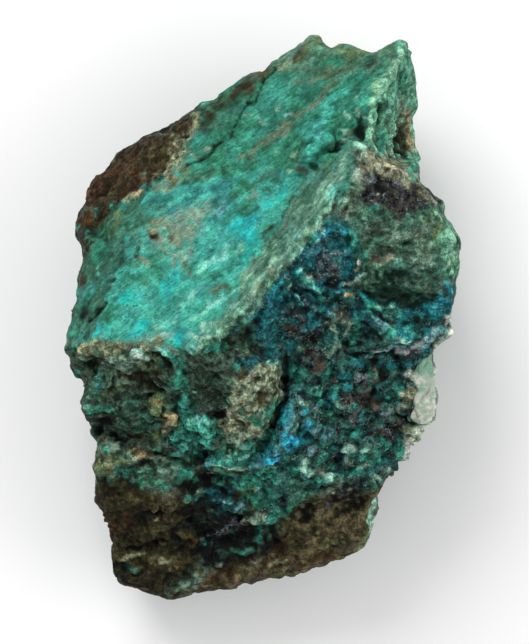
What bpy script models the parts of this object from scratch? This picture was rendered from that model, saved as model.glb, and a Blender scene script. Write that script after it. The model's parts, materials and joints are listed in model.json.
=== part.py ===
"""A palm-sized rough piece of chrysocolla in its matrix, lying on its flattest side.

The stone is one solid, as broken from the rock. Its face side is up: a smooth, bright slip face falls
away to +Y, a broken cliff and a weathered foot fall away to -Y, and a rough face falls away to +X. They
meet near the crest. The underside is a low swell with broken edges, worn flat where it rests.

Each point of a sphere is moved along its own ray from the stone's heart until it meets the nearest
broken face. Relief is then raised on it, the mesh is thinned, and the worn patch is cut at Z = 0.
"""

import math

import bmesh
import bpy
import numpy as np
from mathutils import Vector, noise

MM = 0.001

# The outline seen from above, in millimetres, clockwise from the tallest tip of the upper end.
OUTLINE = [
    (7.2, 39.9), (7.9, 39.9), (8.9, 38.5), (9.4, 37.9), (11.3, 38.6), (12.4, 38.7), (13.5, 38.3),
    (14.8, 37.7), (16.6, 38.0), (18.9, 39.0), (20.0, 38.9), (20.6, 38.0), (21.4, 35.8), (21.3, 33.8),
    (21.7, 29.9), (21.4, 28.7), (21.7, 26.1), (21.5, 21.4), (21.8, 19.4), (23.7, 17.6), (24.8, 16.5),
    (25.2, 14.9), (26.9, 12.8), (27.6, 11.0), (27.3, 9.0), (27.2, 5.6), (26.6, 1.4), (26.9, 0.0),
    (26.6, -1.4), (25.1, -2.7), (23.9, -4.6), (24.4, -6.8), (24.5, -10.6), (24.2, -14.1), (22.4, -14.8),
    (22.0, -16.2), (20.7, -17.0), (20.7, -18.7), (19.4, -19.9), (16.2, -23.7), (15.9, -26.8),
    (15.2, -31.1), (14.1, -32.5), (11.0, -33.8), (5.4, -35.8), (-1.7, -37.5), (-8.7, -38.9),
    (-13.4, -39.7), (-17.2, -38.7), (-19.0, -38.0), (-20.4, -37.9), (-21.1, -36.2), (-21.1, -32.7),
    (-21.5, -29.6), (-22.8, -27.7), (-23.5, -24.9), (-23.9, -22.3), (-23.2, -19.4), (-23.0, -16.5),
    (-24.5, -14.6), (-25.4, -12.0), (-24.6, -9.9), (-25.1, -8.2), (-26.5, -7.0), (-27.6, -4.2),
    (-27.0, -1.5), (-26.8, 0.1), (-27.2, 1.4), (-26.1, 2.8), (-25.8, 7.0), (-25.6, 9.2), (-26.1, 12.8),
    (-25.9, 15.4), (-24.9, 16.8), (-25.1, 18.2), (-24.1, 20.8), (-22.7, 22.5), (-20.0, 24.5),
    (-16.5, 26.1), (-13.7, 27.3), (-6.6, 31.4), (0.4, 35.8), (3.9, 37.5), (5.8, 39.2),
]

# Driving heights, in millimetres above the resting face.
CREST_HEIGHT = 37.0
RIM_HEIGHT = 14.0
RIM_RISE_Y = 0.10
HEART = (0.0, 0.0, 17.0)

# The side lies this far inside the outline, because the relief stands proud of it.
SIDE_INSET = 0.5

# Where the three great faces meet, the apex at the crest's upper end, and how far the crest bows to +X.
CREST = (-6.6, -2.5)
APEX = (12.7, 23.9)
CREST_BOW = 1.7

# Slopes of the great faces, in millimetres of height per millimetre.
SLIP_RISE = (0.33, -0.42)
CLIFF_RISE_Y = 1.05
RIGHT_FALL = 1.28
NOTCH_FALL = 3.2
BACK_FALL = 2.2

# The weathered foot steps down towards -Y: Y, and the height there.
FOOT_STEPS = [
    (-42.0, 11.0), (-38.0, 12.2), (-35.5, 14.2), (-32.4, 15.0), (-28.0, 18.2), (-22.6, 21.6),
    (-17.0, 22.6), (-8.0, 26.0),
]

# Broken edges under the stone: compass angle, reach at Z = 0, and tilt from upright, in degrees.
UNDER_BREAKS = [
    (4, 19.0, 34), (52, 30.0, 36), (96, 28.5, 38), (142, 22.0, 32), (183, 18.5, 36), (228, 37.0, 30),
    (285, 29.5, 34), (318, 23.5, 35),
]

# The underside is a swell: this deep below Z = 0 in its middle, and level with it this far out in X and Y.
SWELL_DEPTH = 1.2
SWELL_REACH = (13.0, 21.0)

# Ledges: X, Y, half length, rise length, compass angle of the drop, height. Each rises slowly to
# its edge and then drops off.
LEDGES = [
    (18.9, 4.3, 7.5, 7.0, -98, 2.2),
    (20.8, -2.5, 6.0, 4.5, -86, 1.7),
    (14.0, 0.2, 4.0, 3.0, -128, 1.0),
    (8.2, 4.4, 3.2, 3.0, -112, 1.0),
    (22.6, -14.3, 3.0, 8.0, -80, 1.8),
    (-0.8, -6.4, 3.6, 8.5, 88, 1.9),
    (-3.6, -21.0, 4.2, 3.2, -88, 1.3),
    (-4.2, -28.6, 5.0, 2.2, -118, 0.9),
    (8.0, 24.0, 3.4, 6.0, -42, 1.2),
    (-21.0, -12.9, 4.5, 3.4, -86, 1.5),
    (-14.2, -18.6, 4.0, 2.6, -76, 0.8),
    (2.5, -24.2, 4.0, 2.6, -60, 0.9),
    (12.6, -23.2, 5.0, 2.2, -98, 1.2),
    (-20.0, -5.2, 5.0, 2.0, -90, 0.8),
]

# Lumps and hollows: X, Y, half length, half width, compass angle of the length, height.
LUMPS = [
    (20.8, 12.4, 7.5, 6.0, 20, 1.8),
    (8.9, 8.2, 6.0, 4.0, 50, -1.3),
    (-2.4, -2.4, 4.6, 2.4, -20, -1.6),
    (11.8, 3.5, 1.1, 0.8, 0, 0.9),
    (3.2, -15.4, 3.6, 1.5, 80, 1.4),
    (0.8, -19.2, 2.4, 1.4, 45, 0.9),
    (12.4, -18.3, 1.7, 1.4, 120, 1.3),
    (14.9, -18.0, 1.6, 1.2, 50, 1.0),
    (6.3, -20.7, 1.5, 1.1, 140, 1.0),
    (9.4, -21.7, 1.6, 1.2, 160, 1.0),
    (11.3, -11.7, 1.4, 0.9, 0, 0.9),
    (7.6, -9.9, 1.2, 1.0, 0, 0.8),
    (6.8, -14.8, 1.5, 1.2, 60, 0.9),
    (9.6, -15.8, 1.6, 1.2, 0, 0.9),
    (7.2, -18.2, 1.3, 1.2, 0, 0.8),
    (17.6, -6.0, 2.6, 1.4, 10, -1.1),
    (18.2, -12.6, 1.6, 1.0, 30, 0.8),
    (20.4, -14.9, 2.0, 0.9, -30, -1.3),
    (12.6, -25.6, 4.2, 1.6, 8, -1.7),
    (6.0, -25.0, 2.0, 1.4, 0, -0.8),
    (-23.6, -5.9, 1.9, 1.2, 0, -1.3),
    (-16.4, -8.4, 3.2, 1.6, 0, -1.3),
    (-12.4, -7.9, 3.6, 1.1, 95, 1.1),
    (-8.6, -9.0, 3.0, 2.2, 100, -0.9),
    (-22.9, -9.7, 2.4, 1.9, 0, 1.2),
    (-13.1, -13.4, 1.6, 1.0, -50, 0.9),
    (-20.8, -15.0, 3.6, 1.3, 0, -1.7),
    (-9.0, -13.9, 1.6, 0.8, 0, 0.9),
    (-8.4, -16.9, 2.2, 1.1, -10, 0.8),
    (-19.3, -21.1, 1.4, 1.1, -30, 0.8),
    (-10.7, -20.9, 1.2, 1.1, 0, 0.8),
    (-7.2, -22.8, 2.8, 1.8, 0, -1.7),
    (-6.0, -29.8, 5.0, 3.0, 20, -2.0),
    (0.0, -25.6, 2.6, 1.8, 30, 0.8),
    (10.0, -30.0, 6.0, 2.4, 15, 1.0),
    (-18.0, -27.0, 4.5, 3.5, 60, 1.0),
    (-12.5, -34.0, 4.5, 1.6, 0, 0.7),
    (-26.4, 2.0, 1.5, 1.5, 0, 1.8),
    (19.8, 25.6, 3.0, 1.5, 90, -2.0),
    (7.2, 38.2, 2.2, 2.0, 90, 1.0),
    (12.0, 37.6, 2.6, 1.8, 0, 0.8),
    (19.2, 37.4, 2.0, 1.6, 0, 0.8),
    (9.6, 35.2, 9.0, 1.2, -4, -0.5),
    (14.4, 30.6, 3.4, 1.3, 70, 0.9),
    (-17.0, 24.6, 5.5, 2.2, 33, -1.2),
    (-14.2, 12.4, 3.0, 2.4, 60, -0.4),
]

# Cuts: half width, depth, and the route they follow.
CUTS = [
    (0.8, 2.6, [(3.0, -4.2), (3.1, -10.4), (1.8, -13.0), (-0.2, -17.0)]),
    (0.9, 2.2, [(14.1, 27.2), (13.2, 25.4), (10.6, 24.4), (9.2, 23.0)]),
    (0.6, 1.3, [(9.2, 23.0), (7.2, 21.3), (5.0, 19.8)]),
    (0.5, 0.9, [(-15.8, -17.6), (-11.6, -19.3), (-8.0, -19.0)]),
    (0.6, 1.0, [(5.6, 4.8), (8.6, 3.4), (11.0, 1.2)]),
    (0.5, 0.9, [(7.9, -0.6), (12.6, -2.4), (16.0, -4.0)]),
    (0.6, 1.1, [(-14.4, -4.4), (-12.0, -6.0)]),
    (0.5, 0.9, [(-25.4, 1.0), (-22.6, 3.0)]),
]

# The weathered skin at the upper left lies lower than the slip face, past this edge.
SKIN_EDGE = [(-9.4, 31.0), (-10.2, 26.0), (-11.6, 21.6), (-15.8, 18.4), (-20.6, 16.2), (-26.0, 12.8)]
SKIN_DROP = 1.5

# The mesh is thinned to this many triangles before the base is cut.
TRIANGLES = 9300
SPHERE_SUBDIVISIONS = 7


def soft_max(a, b, width):
    """The larger of two fields, rounded over where they cross."""
    share = np.clip(0.5 + 0.5 * (a - b) / width, 0, 1)
    return b + (a - b) * share + width * share * (1 - share)


def soft_min(a, b, width):
    return -soft_max(-a, -b, width)


def step(value, low, high):
    """0 below low, 1 above high, and smooth between."""
    share = np.clip((value - low) / (high - low), 0, 1)
    return share * share * (3 - 2 * share)


def beyond_line(x, y, start, end):
    """Distance to the right of the line from start to end."""
    along_x, along_y = end[0] - start[0], end[1] - start[1]
    length = math.hypot(along_x, along_y)
    return ((x - start[0]) * along_y - (y - start[1]) * along_x) / length


def route_distance(x, y, route):
    """Distance to a route of straight stretches."""
    nearest = np.full(np.shape(x), 1e9)
    for (x0, y0), (x1, y1) in zip(route[:-1], route[1:]):
        run_x, run_y = x1 - x0, y1 - y0
        share = ((x - x0) * run_x + (y - y0) * run_y) / (run_x**2 + run_y**2)
        share = np.clip(share, 0, 1)
        nearest = np.minimum(nearest, np.hypot(x - x0 - share * run_x, y - y0 - share * run_y))
    return nearest


def turned(x, y, centre, degrees):
    """Coordinates along and across a direction, from a centre."""
    angle = math.radians(degrees)
    along = (x - centre[0]) * math.cos(angle) + (y - centre[1]) * math.sin(angle)
    across = (y - centre[1]) * math.cos(angle) - (x - centre[0]) * math.sin(angle)
    return along, across


def lumps(x, y):
    total = np.zeros(np.shape(x))
    for cx, cy, half_length, half_width, degrees, height in LUMPS:
        along, across = turned(x, y, (cx, cy), degrees)
        total += height * np.exp(-((along / half_length) ** 2) - (across / half_width) ** 2)
    return total


def ledges(x, y):
    total = np.zeros(np.shape(x))
    for cx, cy, half_length, rise, degrees, height in LEDGES:
        along, across = turned(x, y, (cx, cy), degrees)
        profile = step(along, -rise, 0) * (1 - step(along, 0, 0.9))
        total += height * profile * np.exp(-((across / half_length) ** 4))
    return total


def cuts(x, y):
    total = np.zeros(np.shape(x))
    for half_width, depth, route in CUTS:
        total -= depth * np.exp(-((route_distance(x, y, route) / half_width) ** 2))
    return total


def skin_drop(x, y):
    """The drop onto the weathered skin, which lies to the upper left of its edge."""
    edge = np.array(SKIN_EDGE)
    limit = np.interp(x, edge[::-1, 0], edge[::-1, 1])
    inside = step(y - limit, -0.4, 1.6) * step(-9.0 - x, -0.6, 1.4)
    return -SKIN_DROP * inside


def outline_radius(angle):
    corners = np.array(OUTLINE)
    angles = np.arctan2(corners[:, 1], corners[:, 0])
    radii = np.hypot(corners[:, 0], corners[:, 1])
    order = np.argsort(angles)
    return np.interp(angle, angles[order], radii[order], period=2 * math.pi)


def slip_face(x, y):
    return CREST_HEIGHT + SLIP_RISE[0] * (x - CREST[0]) + SLIP_RISE[1] * (y - CREST[1])


def face_height(x, y):
    """Height of the stone's face side, in millimetres."""
    slip = slip_face(x, y)
    cliff = CREST_HEIGHT + SLIP_RISE[0] * (x - CREST[0]) + CLIFF_RISE_Y * (y - CREST[1] + 1.0)
    foot_y, foot_z = np.array(FOOT_STEPS).T
    foot = np.interp(y, foot_y, foot_z) + 0.05 * x
    share = np.clip((y - CREST[1]) / (APEX[1] - CREST[1]), 0, 1)
    bow = CREST_BOW * 4 * share * (1 - share)
    right = slip - RIGHT_FALL * (beyond_line(x, y, CREST, APEX) - bow)
    corner = 19.5 - 0.10 * (x - 10) + 0.28 * (y + 29)
    notch_wall = slip_face(*APEX) + 1.5 - NOTCH_FALL * -beyond_line(x, y, APEX, (25.1, 16.1))
    behind = beyond_line(x, y, (14.4, 25.0), (20.4, 39.0))
    back = slip - BACK_FALL * behind - 1.2 * step(behind, 0, 0.6)
    left_bevel = slip - 0.75 * beyond_line(x, y, (-17.4, 15.5), (-23.9, -2.5))
    lower_left = soft_max(cliff, foot, 2.0)
    lower_right = soft_max(right, corner, 2.0)
    height = soft_min(slip + skin_drop(x, y), left_bevel, 1.0)
    height = soft_min(height, lower_left, 0.8)
    height = soft_min(height, lower_right, 0.8)
    height = soft_min(height, np.maximum(notch_wall, back), 0.5)
    return height + lumps(x, y) + ledges(x, y) + cuts(x, y)


def excess(points):
    """Above 0 outside the stone and below 0 inside it, in about millimetres."""
    x, y, z = points[..., 0], points[..., 1], points[..., 2]
    above = (z - face_height(x, y)) / 1.15
    reach = np.hypot(x, y)
    drop = np.clip((RIM_HEIGHT + RIM_RISE_Y * y - z) / RIM_HEIGHT, 0, 1.5)
    side = reach - (outline_radius(np.arctan2(y, x)) - SIDE_INSET) * (1 - 0.08 * drop**2)
    outer = soft_max(above, side, 1.6)
    for degrees, distance, tilt in UNDER_BREAKS:
        along, _ = turned(x, y, (0.0, 0.0), degrees)
        lean = math.radians(tilt)
        outer = soft_max(outer, (along - distance) * math.cos(lean) - z * math.sin(lean), 1.2)
    swell = SWELL_DEPTH * ((x / SWELL_REACH[0]) ** 2 + (y / SWELL_REACH[1]) ** 2 - 1)
    return soft_max(outer, swell - z, 0.6)


def ray_lengths(rays):
    """How far each ray runs from the heart before it leaves the stone."""
    heart = np.array(HEART)
    steps = np.linspace(6, 54, 97)
    low = np.full(len(rays), steps[0])
    high = np.full(len(rays), steps[-1])
    inside = np.ones(len(rays), bool)
    for near, far in zip(steps[:-1], steps[1:]):
        left = inside & (excess(heart + rays * far) > 0)
        low[left], high[left] = near, far
        inside &= ~left
    for _ in range(16):
        middle = (low + high) / 2
        outside = excess(heart + rays * middle[:, None]) > 0
        high = np.where(outside, middle, high)
        low = np.where(outside, low, middle)
    return high


def facet(place, cell):
    """Relief of broken crystal faces: every cell is a small plane with its own tilt."""
    nearest = noise.voronoi(place / cell)[1][0]
    tilt = noise.cell_vector(nearest * 7.3)
    return (place / cell - nearest).dot(tilt - Vector((0.5, 0.5, 0.5)))


def smoothness(place, normal):
    """1 on the slip face and 0 on the broken faces."""
    facing = normal.dot(Vector((-SLIP_RISE[0], -SLIP_RISE[1], 1.0)).normalized())
    flat = min(max((facing - 0.90) / 0.07, 0), 1)
    skin = float(skin_drop(np.array(place.x), np.array(place.y))) / SKIN_DROP
    return flat * (1 + skin * 0.7) if place.y > -3.5 else 0.0


def raise_relief(shaping):
    """Rough breaks on the broken faces, and a low swell on the slip face."""
    heart = Vector(HEART)
    shaping.normal_update()
    moves = []
    for vertex in shaping.verts:
        place, normal = vertex.co, vertex.normal
        smooth = smoothness(place, normal)
        rough = 1.5 * facet(place, 5.2) + 0.8 * facet(place + Vector((31, 7, 3)), 2.6)
        rough += 0.35 * noise.noise(place / 1.5)
        swell = 0.35 * noise.noise(place / 8) + 0.12 * noise.noise(place / 2.2)
        under = min(max((place.z - 1.0) / 4.0, 0.0), 1.0)
        relief = (rough * (1 - smooth) + swell * smooth) * (0.4 + 0.6 * under)
        ray = (place - heart).normalized()
        moves.append(ray * relief / max(ray.dot(normal), 0.55))
    for vertex, move in zip(shaping.verts, moves):
        vertex.co += move


def thin(stone):
    """Fewer, larger triangles: enough for the lumps, ledges, cuts and ridges."""
    modifier = stone.modifiers.new("thin", "DECIMATE")
    modifier.ratio = TRIANGLES / len(stone.data.polygons)
    bpy.context.view_layer.objects.active = stone
    bpy.ops.object.modifier_apply(modifier=modifier.name)


def cut_base(stone):
    """Wear the underside flat at Z = 0 and put the stone over the middle of its frame."""
    shaping = bmesh.new()
    shaping.from_mesh(stone.data)
    everything = shaping.verts[:] + shaping.edges[:] + shaping.faces[:]
    cut = bmesh.ops.bisect_plane(
        shaping, geom=everything, dist=1e-6, plane_co=(0, 0, 0), plane_no=(0, 0, -1), clear_outer=True
    )
    ring = [e for e in cut["geom_cut"] if isinstance(e, bmesh.types.BMEdge)]
    ring_verts = list({v for e in ring for v in e.verts})
    bmesh.ops.remove_doubles(shaping, verts=ring_verts, dist=0.15 * MM)
    open_edges = [e for e in shaping.edges if e.is_boundary]
    bmesh.ops.triangle_fill(shaping, edges=open_edges, use_beauty=True)
    middles = []
    for axis in (0, 1):
        reach = [v.co[axis] for v in shaping.verts]
        middles.append((min(reach) + max(reach)) / 2)
    bmesh.ops.translate(shaping, verts=shaping.verts, vec=(-middles[0], -middles[1], 0))
    bmesh.ops.recalc_face_normals(shaping, faces=shaping.faces)
    shaping.to_mesh(stone.data)
    shaping.free()


def stone_material():
    material = bpy.data.materials.new("chrysocolla")
    material.use_nodes = True
    surface = material.node_tree.nodes["Principled BSDF"]
    surface.inputs["Base Color"].default_value = (0.045, 0.22, 0.19, 1)
    surface.inputs["Roughness"].default_value = 0.7
    surface.inputs["Metallic"].default_value = 0.0
    return material


def make_stone(collection):
    mesh = bpy.data.meshes.new("chrysocolla_stone")
    shaping = bmesh.new()
    bmesh.ops.create_icosphere(shaping, subdivisions=SPHERE_SUBDIVISIONS, radius=1.0)
    ball = np.array([v.co for v in shaping.verts])
    rays = ball * np.array([27.0, 39.0, 21.0])
    rays /= np.linalg.norm(rays, axis=1)[:, None]
    places = np.array(HEART) + rays * ray_lengths(rays)[:, None]
    for vertex, place in zip(shaping.verts, places):
        vertex.co = Vector(place)
    raise_relief(shaping)
    for vertex in shaping.verts:
        vertex.co *= MM
    shaping.to_mesh(mesh)
    shaping.free()
    stone = bpy.data.objects.new("chrysocolla_stone", mesh)
    collection.objects.link(stone)
    thin(stone)
    cut_base(stone)
    stone.data.materials.append(stone_material())


def main():
    for old in list(bpy.data.objects):
        bpy.data.objects.remove(old)
    collection = bpy.data.collections.new("chrysocolla_specimen")
    bpy.context.scene.collection.children.link(collection)
    make_stone(collection)


main()
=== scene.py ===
import json
import math

import bpy
import numpy as np
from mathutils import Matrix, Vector, kdtree, noise

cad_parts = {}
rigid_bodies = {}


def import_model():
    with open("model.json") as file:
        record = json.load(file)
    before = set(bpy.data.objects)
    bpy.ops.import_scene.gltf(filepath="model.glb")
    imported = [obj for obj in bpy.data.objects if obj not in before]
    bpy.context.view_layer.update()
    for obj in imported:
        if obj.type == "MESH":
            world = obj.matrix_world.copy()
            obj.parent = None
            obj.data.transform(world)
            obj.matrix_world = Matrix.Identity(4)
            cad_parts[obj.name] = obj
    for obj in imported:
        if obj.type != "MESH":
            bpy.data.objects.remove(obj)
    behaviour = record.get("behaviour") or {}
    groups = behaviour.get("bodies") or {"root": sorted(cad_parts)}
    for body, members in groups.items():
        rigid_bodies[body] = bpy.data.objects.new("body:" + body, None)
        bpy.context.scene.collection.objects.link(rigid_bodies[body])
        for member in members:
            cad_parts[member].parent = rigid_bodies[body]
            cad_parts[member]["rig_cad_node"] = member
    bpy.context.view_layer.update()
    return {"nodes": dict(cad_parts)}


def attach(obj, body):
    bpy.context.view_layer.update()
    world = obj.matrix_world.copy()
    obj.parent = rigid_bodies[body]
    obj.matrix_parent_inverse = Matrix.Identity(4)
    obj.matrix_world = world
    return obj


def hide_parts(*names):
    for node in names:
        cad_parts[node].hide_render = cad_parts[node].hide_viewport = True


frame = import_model()

# ---------------------------------------------------------------- the stone's body
# One piece of oxidised copper ore, as broken from the rock. The bright side is a slip face, polished and
# drawn out into silky streaks where the rock moved. The other faces are fresh hackly breaks, and the foot
# is weathered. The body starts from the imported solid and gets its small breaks, crumbs and streaks here.
MM = 0.001
COARSE_GRID = 0.42 * MM
FINE_GRID = 0.33 * MM
TRIANGLE_LIMIT = 196000
RIM_HEIGHT = 16.0
VIEW_HEIGHT = 700.0

bpy.ops.object.select_all(action="DESELECT")
node = frame["nodes"]["chrysocolla_stone"]
node.select_set(True)
bpy.context.view_layer.objects.active = node
bpy.ops.object.duplicate()
stone = bpy.context.active_object
del stone["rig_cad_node"]
stone.name = "ore_body"
stone.data.name = "ore_body"
bpy.ops.object.mode_set(mode="EDIT")
bpy.ops.mesh.select_all(action="SELECT")
bpy.ops.mesh.remove_doubles(threshold=0.001 * MM)
bpy.ops.object.mode_set(mode="OBJECT")


def add_modifier(piece, kind, **settings):
    """Adds one modifier and applies it."""
    bpy.context.view_layer.objects.active = piece
    modifier = piece.modifiers.new(kind.lower(), kind)
    for name, value in settings.items():
        setattr(modifier, name, value)
    bpy.ops.object.modifier_apply(modifier=modifier.name)


def read_mesh(piece):
    """The mesh's points in millimetres and their normals."""
    count = len(piece.data.vertices)
    points = np.zeros(count * 3, np.float32)
    normals = np.zeros(count * 3, np.float32)
    piece.data.vertices.foreach_get("co", points)
    piece.data.vertex_normals.foreach_get("vector", normals)
    return points.reshape(-1, 3) / MM, normals.reshape(-1, 3)


def write_points(piece, points):
    piece.data.vertices.foreach_set("co", (points * MM).astype(np.float32).ravel())
    piece.data.update()


def seen_from_above(points):
    """X and Y as they are seen from straight above, where a high point looks a little further out."""
    grow = VIEW_HEIGHT / (VIEW_HEIGHT - points[:, 2] + RIM_HEIGHT)
    return points[:, 0] * grow, points[:, 1] * grow


def rise(value, low, high):
    """0 below low, 1 above high, and smooth between."""
    share = np.clip((value - low) / (high - low), 0, 1)
    return share * share * (3 - 2 * share)


def near_route(x, y, route):
    """Distance to a route of straight stretches."""
    nearest = np.full(len(x), 1e9)
    for (x0, y0), (x1, y1) in zip(route, route[1:]):
        run_x, run_y = x1 - x0, y1 - y0
        share = np.clip(((x - x0) * run_x + (y - y0) * run_y) / (run_x**2 + run_y**2), 0, 1)
        nearest = np.minimum(nearest, np.hypot(x - x0 - share * run_x, y - y0 - share * run_y))
    return nearest


def within(x, y, outline):
    """Distance inside an outline, and below 0 outside it."""
    closed = outline + outline[:1]
    inside = np.zeros(len(x), bool)
    for (x0, y0), (x1, y1) in zip(closed, closed[1:]):
        if y0 != y1:
            inside ^= ((y0 > y) != (y1 > y)) & (x < x0 + (y - y0) * (x1 - x0) / (y1 - y0))
    nearest = near_route(x, y, closed)
    return np.where(inside, nearest, -nearest)


# The faces and bands of the stone, each by its outline from above, in millimetres.
SLIP = [
    (-27.6, -3.5), (-22.8, -3.2), (-15.8, -3.5), (-10.4, -4.5), (-6.6, -2.5), (-3.1, 1.1), (1.1, 6.3),
    (5.4, 11.5), (9.6, 16.5), (11.7, 18.6), (12.7, 23.9), (15.5, 28.2), (16.3, 31.3), (19.7, 38.3),
    (19.4, 42), (7.2, 44), (-11.5, 32), (-28, 18), (-29, 2.8),
]
STRIP = [
    (-11, -3.6), (-6.6, 0.3), (-3.1, 4.9), (0, 9.9), (3.2, 14.8), (5.4, 19), (7.9, 21.4), (10.3, 23.9),
    (12.7, 24.5), (12.2, 19), (9.6, 16.5), (5.4, 11.5), (1.1, 6.3), (-3.1, 1.1), (-6.6, -2.5),
]
LEFT_STRIP = [
    (-20.6, 16.2), (-17.2, 15.4), (-19.3, 8.5), (-21.4, 4), (-23.9, -2.1), (-26.8, -4.2), (-29, -3.5),
    (-28, 18),
]
SKIN = [
    (-24.5, 10), (-22.8, 13.6), (-21.1, 15), (-20.3, 16.2), (-17.9, 17.2), (-14.4, 19.3), (-11.5, 22.3),
    (-10.4, 25.4), (-9.4, 28.8), (-8, 33), (-20, 30), (-29, 20), (-29, 6), (-25.8, 5.6),
]
UPPER_SLIP = [
    (-9.4, 20.6), (-3.1, 21.2), (3.9, 19), (9.6, 21.8), (12.7, 23.9), (15.5, 28.2), (16.3, 31.3),
    (19.7, 38.3), (19.4, 42), (7.2, 44), (-8, 33), (-10.4, 25.4),
]
TOP_BAND = [
    (-1, 35.4), (3.9, 34.8), (9.6, 33.6), (14, 34.6), (18, 34.9), (19.7, 38.3), (19.4, 42), (7.2, 44),
    (-3, 40),
]
BACK_FACE = [
    (16.3, 31.3), (19.7, 38.3), (22, 42), (24, 36), (24, 22), (18.3, 22.3), (15.4, 22.6), (14.1, 26),
    (15.5, 28.2),
]
SHOULDER = [
    (11.7, 13.8), (12.7, 16.9), (15.5, 16.1), (19.4, 14.8), (24.8, 17), (30, 14), (30, 4.2),
    (25.1, 2.8), (19.4, 2.8), (14.1, 4.5), (12.7, 8.2), (12.4, 11.3),
]
BLACK_CRUST = [
    (12.7, 16.9), (14.1, 19.7), (16.6, 21.4), (20.6, 20), (25.5, 16.6), (23, 14.9), (19.4, 14.8),
    (15.9, 15.8),
]
CREAM_CRUST = [
    (12.7, 22.1), (13.8, 23.9), (17.3, 23.4), (20.6, 22), (23, 19.4), (19.4, 19.5), (16.6, 21),
    (14.1, 20.4),
]
UNDERCUT = [
    (12.4, 4.9), (19.4, 4.3), (25.8, 4.6), (25.5, 2.2), (22.3, 1.3), (18.7, 2.2), (13.8, 3.7),
]
BLUE_BAND = [
    (12.7, 3.9), (17.3, 2.3), (22.3, 1.4), (25.8, 3.1), (30, 4.2), (30, -1.1), (23, -3.1), (19.4, -3.4),
    (14.5, -1.6), (11.7, 1.2),
]
BLUE_BREAK = [
    (-4.8, -1.4), (0, 4.2), (5.4, 11.3), (8.9, 14.6), (11.7, 13.8), (12.7, 10.6), (14.5, 8.7),
    (13.8, 6.3), (11.7, 2.8), (9.6, 0), (5.4, -2.8), (3.2, -7), (3.2, -3.5), (0, -2.1),
]
GRANULAR = [
    (3.2, -3.5), (5.4, -2.8), (11.7, 0), (14.5, -1.6), (18.7, -3.6), (25, -3.6), (26, -14), (21, -21),
    (15.9, -23.3), (9.6, -22.8), (0, -28.2), (-3.1, -22.5), (0, -16.9), (3, -11.3),
]
CLIFF = [
    (-30, -3.4), (-22.8, -3.8), (-15.8, -4.5), (-10.1, -5.4), (-6.6, -3), (-2.4, 1.6), (0.8, -2.1),
    (3.2, -6.3), (3, -11.3), (0, -16.9), (-6.6, -21.1), (-11.5, -21.1), (-17.2, -23.5), (-27, -22.5),
    (-30, -11),
]
BLOCK = [
    (-4.8, -11), (-3.8, -8.2), (-1, -6.2), (1.8, -5.9), (3.1, -9.2), (2.3, -11.5), (0, -15.5),
    (-3.1, -16.9), (-6.2, -15.8), (-5.6, -12.4),
]
LEFT_FOOT = [
    (-27, -22.3), (-17.2, -23.6), (-11.5, -24.7), (-8.7, -26.3), (-8, -31), (-8.7, -34.1), (-13, -42),
    (-24, -41), (-24, -31), (-27, -27),
]
# A hollow at the foot; its near-black colour is painted shadow.
SHADED_HOLLOW = [
    (-11.5, -22.6), (-8, -20.8), (-4.8, -21.8), (-4.5, -25.4), (0, -27), (0.8, -29.9), (-0.6, -33.8),
    (-5.9, -35.5), (-9.4, -33.8), (-10.8, -28.2),
]
RIGHT_FOOT = [
    (0, -33.6), (1.8, -29.6), (5.4, -25.8), (10.3, -23.9), (16.3, -23), (19, -26), (19, -33),
    (12.4, -37), (1.1, -41), (-13, -42), (-10.8, -38), (-6.6, -35.7),
]

# How rough each face is, in millimetres: silky streaks, hackly breaks and round crumbs.
ROUGHNESS = [
    (CLIFF, 0, 0.9, 0.35), (BLOCK, 0.35, 0.45, 0.35), (LEFT_FOOT, 0, 0.65, 0.25),
    (RIGHT_FOOT, 0.15, 0.32, 0.12), (SHADED_HOLLOW, 0, 0.85, 0.3), (GRANULAR, 0, 0.75, 0.9),
    (BLUE_BREAK, 0, 0.75, 0.6), (SHOULDER, 0, 0.28, 0.14), (BLACK_CRUST, 0, 0.5, 0.7),
    (CREAM_CRUST, 0, 0.35, 0.5), (BLUE_BAND, 0.2, 0.45, 0.4), (BACK_FACE, 0.14, 0.16, 0.04),
    (SLIP, 0.14, 0.08, 0.05), (STRIP, 0.26, 0.05, 0.03), (LEFT_STRIP, 0.14, 0.3, 0.1),
    (SKIN, 0, 0.4, 0.22),
]
OTHER_ROUGHNESS = (0, 0.5, 0.12)
# The direction of the streaks in degrees, and the size of the broken grains in millimetres.
SLIP_STREAKS = 33
STRIP_STREAKS = 50
LEFT_STREAKS = 66
COARSE_CELL = 3.4
FINE_CELL = 1.25
CRUMB_CELL = 0.8
BASE_START, BASE_END = 0.15, 1.2
BASE_WEAR = 0.3


def cover(x, y, facing, outline, feather=0.7):
    """How much an outline's face covers each point that looks up."""
    return rise(within(x, y, outline), -feather, feather) * rise(facing, -0.15, 0.2)


def roughness_at(points, normals):
    """Depth of the streaks, breaks and crumbs at each point."""
    x, y = seen_from_above(points)
    depths = np.tile(np.array(OTHER_ROUGHNESS), (len(x), 1))
    for outline, *depth in ROUGHNESS:
        share = (cover(x, y, normals[:, 2], outline) * rise(normals[:, 2], 0.1, 0.5))[:, None]
        depths = depths * (1 - share) + np.array(depth) * share
    return depths


def chunk(place, cell):
    """Broken grains packed together: flat tilted tops that meet in creases, about 0 to 1 high."""
    place = place / cell
    best = -9.0
    for centre in noise.voronoi(place)[1][:3]:
        tilt = noise.cell_vector(centre * 7.3) - Vector((0.5, 0.5, 0.5))
        away = place - centre
        best = max(best, tilt.dot(away) * 1.5 + tilt.x * 0.5 - 0.8 * away.length_squared)
    return best + 0.4


def streak(place, degrees, length, width):
    """Long soft ridges that run along one direction."""
    turn = math.radians(degrees)
    along = place.x * math.cos(turn) + place.y * math.sin(turn)
    across = place.y * math.cos(turn) - place.x * math.sin(turn)
    return noise.noise(Vector((along / length, across / width, 4.7)))


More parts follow.
